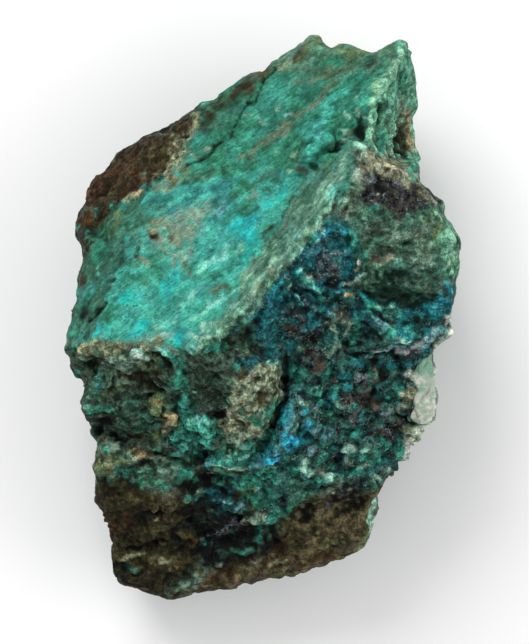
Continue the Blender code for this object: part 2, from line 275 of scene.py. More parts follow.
def relief(points, normals, coarse):
    """Height of the breaks, crumbs and streaks at each point, in millimetres."""
    depths = roughness_at(points, normals)
    x, y = seen_from_above(points)
    strip = cover(x, y, normals[:, 2], STRIP)
    left = cover(x, y, normals[:, 2], LEFT_STRIP)
    heights = np.zeros(len(points))
    for index, place in enumerate(points):
        place = Vector(place)
        silky, hackly, crumbly = depths[index]
        if coarse:
            heights[index] = hackly * (
                chunk(place, COARSE_CELL) - 0.35 + 0.9 * noise.fractal(place / COARSE_CELL, 0.9, 2.0, 3)
            )
            continue
        height = hackly * 0.24 * (chunk(place, FINE_CELL) - 0.2)
        height += hackly * 0.25 * noise.fractal(place / FINE_CELL, 0.8, 2.0, 3)
        if crumbly > 0.04:
            height += crumbly * 0.4 * (chunk(place, CRUMB_CELL) - 0.2)
        if silky > 0.02:
            turn = STRIP_STREAKS if strip[index] > 0.5 else SLIP_STREAKS
            turn = LEFT_STREAKS if left[index] > 0.5 else turn
            height += silky * (streak(place, turn, 8.0, 1.3) + 0.8 * streak(place, turn, 3.0, 0.7))
        heights[index] = height
    return heights


def lift(piece, heights):
    """Pushes each point out by its height. The base only wears inwards, so the stone still stands level."""
    points, normals = read_mesh(piece)
    clear = rise(points[:, 2], BASE_START, BASE_END)
    worn = np.minimum(heights - BASE_WEAR, 0)
    write_points(piece, points + normals * (heights * clear + worn * (1 - clear))[:, None])


add_modifier(stone, "REMESH", mode="VOXEL", voxel_size=COARSE_GRID)
add_modifier(stone, "SMOOTH", factor=0.5, iterations=5)
lift(stone, relief(*read_mesh(stone), True))
add_modifier(stone, "REMESH", mode="VOXEL", voxel_size=FINE_GRID)

# ---------------------------------------------------------------- its minerals
# Chrysocolla is a copper silicate that grew as films and crusts in the broken rock, from turquoise to deep
# blue, with green copper carbonates, brown iron stain, black copper oxide and pale quartz. Each mineral is a
# ground colour and a grain colour, the share of grains, how pitted it is and how many painted glints it gets.
# Some entries stand for light rather than minerals: the near black laid into hollows, pits and grooves and
# the dark green-black under the shoulder's ledge are painted shadow, and the white grains are partly painted
# glints.
MINERALS = {
    "turquoise": ("4CB4A2", "33907E", 0.42, 0.5, 0.1),
    "vivid": ("22B2AE", "3CC4BC", 0.35, 0.15, 0.1),
    "pale_turquoise": ("86D4C2", "4FA893", 0.42, 0.3, 0.2),
    "teal_film": ("35867F", "2A6E6A", 0.45, 0.4, 0.1),
    "copper_green": ("358A6F", "276350", 0.45, 0.45, 0.1),
    "top_green": ("58866A", "3E6250", 0.45, 0.5, 0.05),
    "moss": ("6A8256", "4C5E40", 0.45, 0.5, 0.05),
    "dusty": ("86A894", "708A7A", 0.42, 0.45, 0.1),
    "beige_film": ("94A488", "688670", 0.45, 0.45, 0.05),
    "sage": ("8EC2A2", "5C8C70", 0.45, 0.5, 0.05),
    "strip_green": ("5A8C74", "3E6A58", 0.5, 0.5, 0.05),
    "strip_sage": ("88B89C", "537F6A", 0.48, 0.45, 0.05),
    "dark_green": ("447A64", "2C5646", 0.48, 0.45, 0.05),
    "skin": ("3C2D19", "21190E", 0.45, 0.4, 0),
    "olive_skin": ("4E4A2E", "322C1A", 0.45, 0.45, 0.05),
    "cream": ("A2A684", "64684A", 0.45, 0.5, 0.15),
    "brown_film": ("6A8066", "4C6A56", 0.45, 0.4, 0.03),
    "rust": ("54493A", "37322A", 0.45, 0.4, 0.15),
    "back_green": ("6EAE90", "487C62", 0.42, 0.45, 0.05),
    "red_brown": ("4E321D", "2B1C11", 0.45, 0.4, 0),
    "rim_brown": ("3C3520", "221E12", 0.45, 0.4, 0.05),
    "cliff": ("4A6250", "232F28", 0.45, 0.5, 0.15),
    "shade_green": ("2F5A42", "1E3E2C", 0.45, 0.45, 0.05),
    "teal_blue": ("23807F", "114B4E", 0.36, 0.3, 0.35),
    # white quartz grains, used in places as painted glints
    "white_grain": ("F2F4EC", "D4DACE", 0.3, 0, 0),
    # dark green-black for cracks and grooves, and painted shadow under the shoulder's ledge
    "crack": ("14362C", "0C1F19", 0.5, 0.2, 0),
    # painted shadow: near black laid into hollows, pits, grooves and under overhangs
    "soot": ("151A16", "080A08", 0.45, 0.1, 0.05),
    "tan": ("C2AC84", "80704C", 0.4, 0.3, 0.1),
    "deep_teal": ("348672", "1B5043", 0.43, 0.4, 0.2),
    "lit_teal": ("46A38D", "2A705E", 0.42, 0.35, 0.25),
    "mint": ("A2D4BE", "6AAA92", 0.35, 0.2, 0.35),
    "olive_rock": ("38381F", "1C1D11", 0.45, 0.4, 0.05),
    "brown_rock": ("625B3E", "3C3828", 0.45, 0.4, 0.1),
    # painted shadow: near black for the hollow at the foot and the undercuts beside it
    "black_rock": ("0F1513", "060807", 0.42, 0.1, 0.12),
    "sage_rock": ("B0C09E", "48594A", 0.45, 0.5, 0.25),
    "blue": ("1D747A", "0B3B40", 0.4, 0.35, 0.4),
    "azure": ("3098A8", "1A6070", 0.38, 0.3, 0.45),
    "sky_blue": ("35B4D0", "1E8AA4", 0.38, 0.15, 0.3),
    "blue_grey": ("649A9E", "32666C", 0.45, 0.3, 0.55),
    "navy": ("14484A", "082020", 0.45, 0.3, 0.25),
    "granular": ("316A60", "151F1D", 0.42, 0.4, 0.4),
    "purple_grey": ("5E626A", "242D33", 0.45, 0.4, 0.85),
    "shoulder": ("4C7761", "314F3F", 0.46, 0.35, 0.1),
    "black_crust": ("403D3A", "141210", 0.45, 0.3, 0.5),
    "cream_crust": ("98987E", "585C46", 0.45, 0.45, 0.2),
    "pink_crust": ("B6B4B4", "667A7E", 0.42, 0.3, 0.45),
    "quartz": ("C2C8BA", "9AA898", 0.35, 0.1, 0.2),
    "quartz_rock": ("8C9D8C", "5F7668", 0.48, 0.45, 0.2),
    "grey_green": ("7A9882", "4A6654", 0.45, 0.4, 0.2),
}

# The mineral of each face and how gradually it starts, in millimetres, from the widest to the narrowest.
# The undercut below the shoulder and the hollow at the foot are laid in dark colours as painted shadow.
FACES = [
    ("turquoise", SLIP, 0.8), ("copper_green", UPPER_SLIP, 2.6), ("top_green", TOP_BAND, 1.6),
    ("strip_green", STRIP, 1.0), ("dark_green", LEFT_STRIP, 1.8), ("skin", SKIN, 0.9),
    ("back_green", BACK_FACE, 0.8), ("cliff", CLIFF, 1.0), ("olive_rock", LEFT_FOOT, 1.0),
    ("brown_rock", RIGHT_FOOT, 0.9), ("granular", GRANULAR, 1.0), ("black_rock", SHADED_HOLLOW, 1.2),
    ("blue", BLUE_BREAK, 1.0), ("sage_rock", BLOCK, 0.8), ("shoulder", SHOULDER, 0.9),
    ("black_crust", BLACK_CRUST, 0.9), ("cream_crust", CREAM_CRUST, 0.9), ("navy", BLUE_BAND, 0.8),
    ("crack", UNDERCUT, 0.9),
]

# Patches of each part of the stone, where a later one covers an earlier one. Each mineral is followed by its
# patches: X, Y, half length, half width, the direction of the length in degrees, and how far the patch
# stands out, or lies in when it is below 0, all in millimetres. The last two are 0 where they are left out.
# The edge of a patch is ragged, and more coarsely where its direction is an odd number.
PATCHES = {
    # In the slip face, the dark patches along the upper-left edge between X -8 and 0 and Y 28 to 34 are
    # painted shadow over the stone's own dark green.
    "the slip face": """
        vivid -2.2 13.4 2.3 2 21 .1, -1.8 10.6 2.8 1.3 80 .1, .6 16 1.8 .6 61, -22.6 -1.2 1.8 .8 16,
        -17.4 -.8 1.6 .6 21, -13 4.8 2.4 .8 66, -18.4 3.4 1.4 1.1 41, 2.8 17.9 1.4 .5 46,
        -11.6 -2.2 1.4 .7 81; pale_turquoise -7.4 2 3 .5 36, -7.6 8 2.2 .45 45, -5.4 9.6 1.4 .35 46,
        -10 3 2.6 .4 41, -8.2 -2 1.9 1.1 30 .15, -9.4 -3.4 1.3 .7 21 .2, -14 -.6 1.8 .6 26,
        -3.2 9.9 .9 .5 41; turquoise 10.4 31.4 2.4 .5 31, 8.6 27.8 2.4 .7 42 .05, 8.3 22 1 .4 41 .1;
        teal_film -14 17 4.6 .9 28, -7.5 18.8 4.4 .9 15, -5.2 16.2 2 1.8 60, -14.6 9.6 2.6 .9 5,
        -19.6 9.8 3.4 .7 70 -.1, -5.4 13 1.4 .8 60, -24.2 4.2 1.8 1.2 40 .25; dusty -13 12.6 4 3 25 .1,
        -8.6 15.6 3.6 1.2 24, -9.4 13 2.6 1.1 66 .05, -11.4 8.8 1.7 1.1 20, -1.8 17 1.2 .5 40;
        brown_film -15.3 11.7 .75 .5 -11 -.15, -11 7.8 .9 .6 40 -.1, -10.2 6.6 .9 .3 85,
        -16.6 5.4 .55 .5 0 -.05, -7.4 20.4 1 .4 30, 3.6 27.6 6 .6 42 .05, 8.6 31.8 5 .5 41 .05,
        -1.6 23.8 3.4 .35 36 -.05, 2 25.6 2.4 .5 41; copper_green -15.8 6.6 2.6 1 25, -19 6.6 2 1.1 70,
        -15.2 14 1.5 .9 21, -5 7.4 2.4 1 40, -15.2 9.4 1.4 .7 21, -21.2 1.2 1.6 .8 40, -9.9 8 1.4 .8 40,
        -22.8 9.6 2.6 1.2 85 .2, -4 21.2 2.6 1 21, -14.2 8.2 1.4 .6 11, -21.4 .2 1.2 .8 30,
        -2.2 15.8 1.4 .7 31, 9.2 36.4 1.6 .5 11; beige_film -12.2 11.4 1.8 1 -21, -16.2 8.4 1.2 .5 -31,
        -14.6 13.6 1.2 .5 1, -13.8 18.8 2.2 .6 22, 3.6 36.6 1.2 .4 30; dark_green -17.2 8.4 1.3 .6 -21 -.05,
        -17.4 12.2 3 .8 80, -16 15.6 1.8 .8 35, -18.9 11.4 2.2 .8 65, -24.7 8.2 1.2 .7 60,
        -18.6 15.6 2 .8 41, -4.6 30 6 2 34, .8 19.6 2.6 1.1 31, -8.6 20.4 3 .6 26, 14.8 36.4 2.4 .8 21;
        moss -11.5 20.3 1.7 .8 31, -20.8 13.6 1.6 .8 50 .1, -11.2 20.2 1.2 .7 30, 7.2 38.6 2.4 1.3 21,
        12.4 37.9 2.6 .9; lit_teal -1 29.4 2.6 1.4 26 .05, 2.6 31.8 3.4 1.6 25 .05, -2.4 25.4 2.8 .9 26;
        quartz_rock -1.4 28.4 1.3 .22 -13 .1, -7.7 24 .8 .35 20 .15, -9.2 23 .9 .25 -15 .1;
        brown_film -13.1 11.8 .45 .4 0 -.1, 8 34.4 4 .6 20; rust -25.4 5.8 .7 .5 80 -.2, 5 37.2 .9 .5 30,
        11 35.4 .8 .4; teal_film -5.6 17.4 2.2 1.4 70, -10.8 16.4 3.2 .7 23; mint -8.2 -1.3 1.5 .6 36 .1,
        -14.2 -2.2 1.6 .5 15; shade_green -22 13 1.8 1.1 50 -.1, -6.6 29.6 5.4 1.3 37, -2.8 31.8 2.4 .8 30;
        olive_skin -15.3 11.8 .8 .35 -10 -.15, -12.7 11.5 .5 .3 20 -.1, -17.6 9 .8 .3 -25 -.1,
        -1.2 33.8 3.4 1 33, -15.6 22.4 4.4 2 38; red_brown -24 16.8 3.8 1.8 81 .1, -21.4 20.6 2.4 1 40 .1,
        -18.8 21 1.9 1.2 51; olive_rock -7.6 29 3.4 1 40, -3.6 32.2 1.8 .6 35;
        cream -15.6 12.5 .9 .3 -11 .08, -9.6 11.2 1 .3 61 .05, -14.2 14.4 1 .3 10 .05,
        -11.4 24.8 2.4 1.1 76 .15, -9.8 27.6 1.5 .8 61 .1, -12.4 21.5 2.6 1.1 40 .1;
        skin -19.6 23.8 3.4 1 40 -.2, -10.8 27.6 1.6 .7 40 -.1, -24.9 12.6 .9 .6 80;
        soot -21 5.4 .5 .4 1 -.3, -11 26 .7 .25 21 -.2, -13.6 27 1.2 .5 51 -.2; blue_grey -5.6 16 1 .3 61;
        top_green -6.6 4.4 1.8 .7 21 -.05; dark_green -3.4 18.8 1.9 .8 21; copper_green -3.4 18.8 1.8 .9 20,
        2 22.6 2.4 1.2 31, .8 18.8 1.6 .8 30; deep_teal -26.6 -2.2 2.4 .8 76 .1; soot -25.6 1.2 1.2 .6 41;
        rim_brown -21.8 16.6 1.3 .7 31; shade_green -26.3 .8 1 .5 80; tan -17.8 17.6 .8 .35 21 .1;
        olive_skin -12.9 24.8 1.1 .6 60 -.1; cream -18.6 17.4 1.2 .4 31 .1""",
    "the crest, the face behind it and the strip": """
        strip_sage 14.2 23.4 1.2 .6 -38 .1, 11.2 16.8 1.6 .7 45 .1, -1.2 1.7 1.8 .7 50,
        1.6 10.6 5.6 .35 51 .12, 5 14.6 3.4 .3 51 .12, 8.2 18.2 2.6 .4 51 .12, -1.6 7 3 .35 53 .1,
        10.8 21.2 3 .35 62 .12; dark_green 5.3 24.8 1.5 .25 71 -.15, 16.8 28.6 1.5 .35 79 -.5,
        19.2 34 2 .5 100 -.1, 7.2 19 3 .25 50 -.12, 2.6 14.4 3.6 .25 50 -.12, .4 9.4 3 .22 50 -.1,
        3.2 12.6 3.2 .3 51 -.1, 9.4 21.4 2.4 .2 55 -.12, 12.4 21.6 1.6 .6 75 -.1, 13 19.2 1.1 .8 61;
        beige_film -1.2 4.4 2.4 .4 56 .08, 2 8.4 2.4 .35 53 .08; mint 11.9 26.4 .5 .3 20 .3,
        14.2 23.3 1.2 .4 -39 .1, 12.2 28.6 .5 .3 51 .1; sage 3.8 21 .5 .2 0 .1, 15.5 27.4 2.8 .35 88 .45,
        18.1 26.6 3.2 .3 93 .45, 9.4 15.9 1.2 .4 51 .1; top_green 8 37.6 1.5 .9 41; moss 5.4 37 .9 .5 40;
        olive_skin 20 25.4 2.6 1.2 92 -.7; rim_brown 20.2 24.6 1.6 .7 95; lit_teal 16.7 25.4 2 .5 96,
        17.2 30.8 1.6 .6 110 .3, 9.8 14.4 1.2 .5 16, 20.8 21.6 1.8 .7 116 .1;
        brown_film 3.6 14.2 2.6 .2 52 -.05; copper_green 12.4 27.3 .9 .7 21 .35, 20.6 34.4 3.2 .9 101,
        17.3 25.4 1 .8 1; back_green 16.2 32.6 1.8 .6 61 .1, 17.2 30.8 1.5 .5 110 .1, 20.8 34 2.4 .5 100;
        shade_green 13.9 28.4 1.1 .7 81 -.4, 16.9 28.6 1.6 .5 80 -.3; mint 13.8 29 .5 .3 71 .2;
        turquoise 7.2 24.2 3 1.7 79 .25; teal_film 7.4 25.4 1.4 .9 60 .1;
        pale_turquoise 8 25.8 .7 .2 60 .05, 10 17.4 1.1 .6 50 .1; lit_teal 14.6 31.2 1.6 .5 40 .1,
        11.6 18.2 1.6 .5 56; copper_green 9.6 24.2 2 1.4 35 .8, 17.6 33.6 1.4 .7 60;
        dark_green 4.8 22.6 1.5 .9 21 -.2, 9.4 24.6 1 .4 60; soot 9.9 24.1 .8 .2 31 -.2,
        8.9 23.6 .5 .15 80 -.15, 11.2 24.8 .4 .2 36 -.2, 19 25 1.4 .5 90 -.5; cliff 11.1 25 .8 .4 35 -.3,
        13.9 26.4 1.7 .8 65 -.4; sage 4.2 23.6 .6 .2 50 .1, 13 24.4 1.7 .6 -39 .3;
        soot 13.9 25.8 .7 .3 66 -.3; grey_green 12.6 26 1 .5 31 .1; turquoise 7 24.3 1.5 1.1 76 .45;
        shade_green 7.2 21.3 1.1 .4 -11 -.2; crack 13.9 26.6 .9 .45 65 -.2;
        copper_green 14.3 24.9 1.2 .5 -39; rust 5.4 20.8 1 .4 -11; tan 20.8 26 1.7 .25 101 .1;
        cream 20.1 28.6 2.2 .5 100 .15; rust 20.4 28.4 1.6 .5 101; tan 20.9 26.6 1.5 .35 98;
        back_green 20.8 30.4 1.2 .5 101; cream 20.2 29.4 .9 .4 96 .1""",
    # The thin mint streaks on the blue band near X 15 to 21, Y -3 to 3 are painted highlights.
    "the crusts, the shoulder and the blue band": """
        cream_crust 16.6 21.8 1.6 .8 -26 .35, 15.4 22.8 1.2 .35 -35 .2, 23.4 17.2 1.4 .5 -38 .1,
        17.2 20.4 1.3 .5 -25 .2, 21.8 11.9 .9 .35 30 .05, 18.1 8.7 .8 .4 10 .1;
        lit_teal 15.9 15.5 1.1 .5 21 .2, 19.4 -1.8 2.6 .9 -6 .25, 15.6 2.2 2.4 .5 -32 .1,
        18.6 1.1 1.4 .5 -14 .2, 18.8 .9 1.3 .5 -10 .1; rust 20.8 19 .8 .3 -41 .1, 22.2 17.2 1.4 .4 -40 .1,
        16.6 8.4 .8 .5 0 -.1; grey_green 13.9 18.7 1.3 .7 36 .1, 22.4 9.2 2.4 1.8 40 .35,
        21.4 12.2 1.6 .7 21 .15, 21.8 12.8 1.4 .7 31 .1, 13.8 19 1 .7 60 .1; soot 17.2 18.4 1.6 .6 -25 -.2,
        20.2 15.6 1 .5 20 -.2, 14.6 17.6 .8 .5 21 -.2, 20.4 10.4 .4 .3 1 -.2; mint 14.4 13.8 .3 .22 0 .05,
        16.6 -.2 1.8 .14 -35 .1, 15.4 2.6 1.6 .12 -32 .1, 18.1 1.5 .6 .18 -19 .1;
        shade_green 14.4 14.3 1.3 .7 41, 14.3 15.2 1.4 .9 81, 17.2 14.2 1.1 .8 0 -.1;
        dark_green 19.6 7.2 1.6 .7 0 -.15, 24.6 6.4 1.4 .9 20; cliff 13.6 16.2 1.1 .7 41,
        15.2 12 2.4 1 55 -.15, 17.6 9.6 1.6 .6 0 -.1, 20.2 6 2.4 .9 -7 -.2, 23.4 5.3 1.4 .7 13;
        crack 19.2 4 3.6 .8 -9 -.1, 16.6 6 2.6 1 -14 -.2, 20.2 5.9 2.6 .9 -4 -.1, 20.2 6.8 1.6 .6 1 -.1;
        deep_teal 13.6 9.8 2.2 1.1 111 .15, 13.6 -.8 1.6 .5 105 .2; blue 22.4 1 2.6 1 11 .1,
        24.2 1.3 1.6 .9 11 .15; azure 19.6 -2 1.8 .7 -5 .1, 23.8 1.5 1.7 .7 10 .1, 26.1 3.5 1.7 .7 72 .15;
        navy 22.5 -.2 1.2 .7 11 -.3, 15.6 -2.2 1.4 .6 -31 -.2; purple_grey 19.4 18.8 1 .5 -30 .2,
        17 16.8 .8 .5 21 .2, 15.8 19.4 .5 .4 30 .3, 20.8 17.6 .6 .4 30 .25;
        quartz_rock 16.6 21.3 .6 .35 0 .2, 15.2 20.6 .5 .3 21 .2; tan 18.6 21.2 .4 .2 0 .1;
        black_crust 19.6 15.2 1.8 1.5 60 .1; shoulder 23.4 15.6 1.4 .8 -40 .1; cream 20.3 18.9 .9 .4 -40 .1;
        back_green 26.2 10.6 3.6 1.2 95 .2; moss 22.8 14.6 1.2 .6 31 .1, 24.8 13.4 1.4 .9 101;
        strip_sage 26.6 11.4 2.2 .6 96 .1; sage 24.6 14.6 1 .25 -41, 26.3 8.6 1.6 .6 82 .1;
        grey_green 18 13 1.4 .7 20 .1; cliff 17.1 12.7 1.1 .8 40; mint 20.6 -2.6 1.6 .3 -4 .2;
        vivid 14.4 3.3 1.4 .5 -31 .15; blue_grey 16.6 -.4 1.2 .5 -36 .1, 20.6 -3.4 3.4 .5 4 .2;
        pink_crust 20.2 -4 2 .45 1 .25, 22.8 -2.6 1.6 .25 30 .2, 16.6 -4 1.6 .2 5 .15;
        purple_grey 22.4 15.8 .6 .5 1 .25, 21.4 -4.6 1 .5 1 .1; granular 17 1.2 .6 .3 -20 -.1;
        blue_grey 24.4 -1.9 1.8 .5 28 .2; quartz 26.6 -.4 1.6 .5 83 .2; quartz_rock 25.2 -2.6 1.4 .4 42 .15;
        white_grain 26.7 -.4 1.2 .3 83; teal_blue 20.2 -1 1.4 .6""",
    "the blue break below the crest": """
        grey_green 13 7 .6 .35 20 .3, 10.8 -3.2 1.8 .6 95 .35, 11.8 -1 1.2 .35 36 .2, 10 -1.2 1.2 .5 -51 .2;
        soot 6.6 7.3 .8 .2 13 -.2, 6.7 4 2.2 .35 -26 -.4, 4.4 4 1 .5 -21 -.3, 11 3.1 .6 .4 1 -.3,
        11.8 4.4 .9 .3 0 -.3; deep_teal 1.2 5.2 1.2 .4 61 .1, 13 -2.6 1.2 .6 40 .2; navy 5.6 2 3.2 2 -41,
        8.3 3.7 1.1 .6 -21 -.1; blue 7 9.4 2.4 .8 56 .05, 1.8 3.6 2.2 1.2 60 .1, 1.2 -5 1.8 1.3 80 .1;
        blue_grey 6.2 9.6 .7 .3 50 .1, 6.4 2.2 1.6 .16 -48 .1, 5.2 2.8 1.2 .14 -49 .1, 7.4 1.5 1 .25 -49 .1,
        1.4 -5.9 .9 .3 71 .1; mint 5.4 9.8 .5 .15 60 .1, 14.1 7.4 .4 .2 61 .2, 13.5 5.6 .9 .25 61 .25,
        11.6 5 .35 .35 0 .2, 1.7 -6 .35 .15 80 .1, .7 -5.6 .25 .15 61 .1; vivid 5 7.1 1.1 .7 50 .25;
        white_grain 5.6 7.4 .3 .22 20 .05, 6.5 6.3 .45 .16 -30 .1; tan 11.9 3.3 .7 .22 6 .15;
        granular 10.4 2.2 1.6 .8 21 .1; rust 11 .6 1.2 .6 -10 .1; soot 4.4 .4 1.6 .25 -38 -.3,
        12.8 -3.2 1.6 .4 -11 -.3; dark_green -3.6 -.8 2.2 1.4 50 -.1; navy 3.9 5.7 1.2 .6 60 -.2;
        black_crust 5.8 -1.6 2.6 1.3 -11, 5 .6 1.4 .5 -30; blue 1 -2 2.6 1.5 81 .2;
        soot -.8 -.6 1.4 .6 61 -.3; cliff -2.4 -2.2 1.5 .9 51; teal_blue 10.2 11.8 2.6 2 61 .05;
        azure 9.8 13.2 1.6 .5 -5 .15, 8.2 12.4 1.5 .7 56 .25, 7.2 10.6 1.2 .6 61 .25;
        mint 8.1 12.6 .7 .22 60 .15, 7.3 11 .5 .18 51 .1, 5.4 7.4 .7 .4 41 .2;
        lit_teal 12.6 11.6 1.6 .6 111 .15, 6.5 5.6 1.5 .6 -43 .35, 6.6 11.4 1.3 .4 56 .1;
        purple_grey 9.2 8.7 2.6 1.8 80 .1; black_crust 10.4 6.4 1.2 .8 20 .1, 8.8 6.6 1.6 .9 21;
        teal_blue 9.8 11.4 1.5 .9 81; deep_teal 13 9.8 2 .7 110 .2; quartz_rock 13.5 8.2 .55 .4 101 .35,
        12.6 4.8 .6 .25 -21 .2; white_grain 13.4 8.3 .22 .18 100 .05; pale_turquoise 6.6 5.6 1 .2 -42 .1""",
    # The small mint spot at X 3.9, Y 4.6 is a white grain with a painted glint, and the near-black line at X
    # 20.6, Y -13.9 is painted shadow under the quartz.
    "the granular break and the blue ribbon along it": """
        deep_teal 4.8 -7.4 1.4 1 85 .4, 10.4 -9.6 .8 .6 1 .3, 13.2 -15.6 1.6 .7 46 .4,
        12.4 -21.4 1.6 .8 10 .3, 3.6 -21 1.5 .9 31 .2, 9.6 -12.8 1.4 .9 60 .3, 8.6 -7.8 1 .8 0 .3,
        1.4 -25 1.6 .6 80 .1, -.4 -30 1.3 .4 61 .1; blue_grey 8.8 -16 1.7 .7 -20 .5, 7 -18.4 1 .7 81 .5,
        3.8 -12.4 1.6 .5 86 .2, 3.5 -14.4 2.2 .8 85 .3, 1.6 -18.6 1.6 .8 50 .3, 0 -20.4 1.4 .5 31 .2,
        -3.2 -26.2 1.6 .5 21 .3; teal_blue 6 -16.4 1.6 1 40 .2, 1.4 -17.8 1.9 .8 51 .1, .2 -19 1.3 .6 30 .2,
        2.2 -14.2 1.4 .4 71, -6.8 -24.8 1.4 .6 11 .2; granular 14.2 -14 1.3 .9 41 .2,
        12.9 -13.5 1.5 .9 80 .1, 5 -18.6 .8 1.6; quartz_rock 18.4 -13 .6 .4 30 .3, 22 -11 2 .5 86 .2,
        -8.8 -24.4 .35 .25 1 .2; sky_blue 3.6 -17.3 1.3 1 80 .35, 3.2 -14 1 .35 85 .1,
        1.5 -19.4 1.2 .4 40 .15; azure 6.7 -14.8 .9 .5 -21 .3, 5.7 -12.6 .7 .5 61 .2, 9.4 11.8 1.3 .8 81,
        3.6 -13 1.6 .5 86 .1, .8 -18.8 .7 .4 31; blue 18.1 -6 1.1 .9 11 .5, 12.3 -6.2 1.4 1 31 .5,
        12 -8.8 1.3 1.1 60 .5, 16.8 -14.3 .5 .4 1 .3, 9.6 -11.4 1.1 .7 81 .3, 5.4 -16.6 1.6 .6 61 .2,
        -7.2 -24.8 .9 .5 10 .3; cream_crust 20.2 -11.4 1.4 .9 60 .4, 20.9 -10.4 1 .5 81 .3;
        lit_teal 8.2 -10 .7 .5 20 .4, 14.4 -19 .8 .6 1 .4, 1 -21.4 1.5 .7 16 .1, 14.4 -20.3 1.1 .6 21 .2,
        2 -27.4 1.6 .9 61 .3, 7.6 -22.8 1.4 .5 10 .1, -6 -22.8 .9 .4 0 .2; mint 11.3 -12 1 .55 -6 .5,
        15 -17.9 1 .45 46 .5, 6.4 -20.8 1.2 .7 -38 .6, 9.4 -21.8 .9 .7 -31 .6, 5.6 -11.4 .5 .35 20 .2,
        14.2 -20.3 .8 .5 21 .2, 2.5 -22.2 1.3 .65 60 .5; black_crust 7.6 -5.8 1.7 1.2 81 .3,
        20.4 -12.8 1 .4 -20 .2, 14.4 -11.2 1.6 1.1 61 .3, 12.4 -11 1.2 .8 21 .2, 10.4 -5 1.2 .8 1,
        12.9 -13.3 1 .9 60 -.1; rust 7.7 -6.4 .9 .4 80 .1, 17 -15.6 1.1 .6 20 .3, 14.6 -10.8 .7 .4 60 .1,
        16.6 -12.4 1 .6 1 .3; grey_green 5.4 -4.6 1.4 .4 40 .2, 12.3 -18.5 1.3 .9 76 .7,
        15.8 -7.6 .9 .3 70 .3, 9.4 -4.4 1 .4 61 .2, 9.8 -23.8 1.8 .4 21 .2; soot 14.6 -4.6 3.2 .3 -5 -.4,
        18.6 -4.9 1.4 .35 -20 -.4, 19.9 -6.6 .6 .6 1 -.3, 20.6 -13.9 1.7 .35 -29 -.5,
        17.1 -6.9 1.2 .8 51 -.2; black_crust 17.8 -15 2 1.1 21 .2, 15.8 -8.2 .8 .7 0 -.1;
        purple_grey 13.8 -8.4 1.2 .8 40 .2, 17.6 -13.6 .8 .4 20 .2; copper_green -1.6 -22.6 2.4 1.1 12 .2,
        -1.6 -24.8 1.3 .8 30 .3, 4.6 -26 2.4 .4 36 .1; navy 19.4 -8 1.1 .9 60 .4, 17.2 -9.9 1.2 1 1 .5,
        6.6 -9.6 1 .6 60 .1, 14.2 .9 .9 .6 1 -.1; quartz 21.1 -7.8 .9 .6 70 .5, 24.4 -9 6 .7 89,
        24.6 -12.8 2.6 1.1 92, 26.3 -.8 1.3 .6 80 .1; sage_rock 21.2 -16 1.5 1 40 .4;
        moss 20.6 -15 .9 .5 21 .1, -2 -23.8 1.4 .6 21 .1; quartz 20.4 -18 2 .8 78 .2, 22.6 -15 2 .5 9;
        lit_teal 19.2 -18.4 1.6 .5 76 .2, -2.4 -23 1.3 .5 16 .1; tan 15.9 -6.4 .5 .3 61 .2;
        soot 16 -5.8 .9 .5 61 -.3; quartz 20.4 -17.4 1.4 .7 75; crack 5 -5.2 1.1 .7 61 -.1,
        4.2 5 .8 .6 40 -.2; mint 12.1 -18.3 .8 .45 61 .1, 3.9 4.6 .3 .15 41; navy 17.6 -20 1.6 1.2 51 .3,
        10.9 -19.4 1.2 .7 61; grey_green 18.8 -7.2 .8 .2 60 .2, 17 -21.6 1.2 .6 40 .2;
        shade_green 15.8 -23.2 1 .6 40; blue -3.9 -22.8 1.2 .7 41 .1; dark_green 4.4 -23.6 2.3 1.5 21 .6;
        black_rock 1 -31 1.7 1.2 46 -.1; copper_green -2.2 -24.8 1.3 .8 21 .1;
        crack 6.8 -23.4 1.3 .6 20 -.1; lit_teal 2.2 -22.4 1.5 .8 71 .2""",
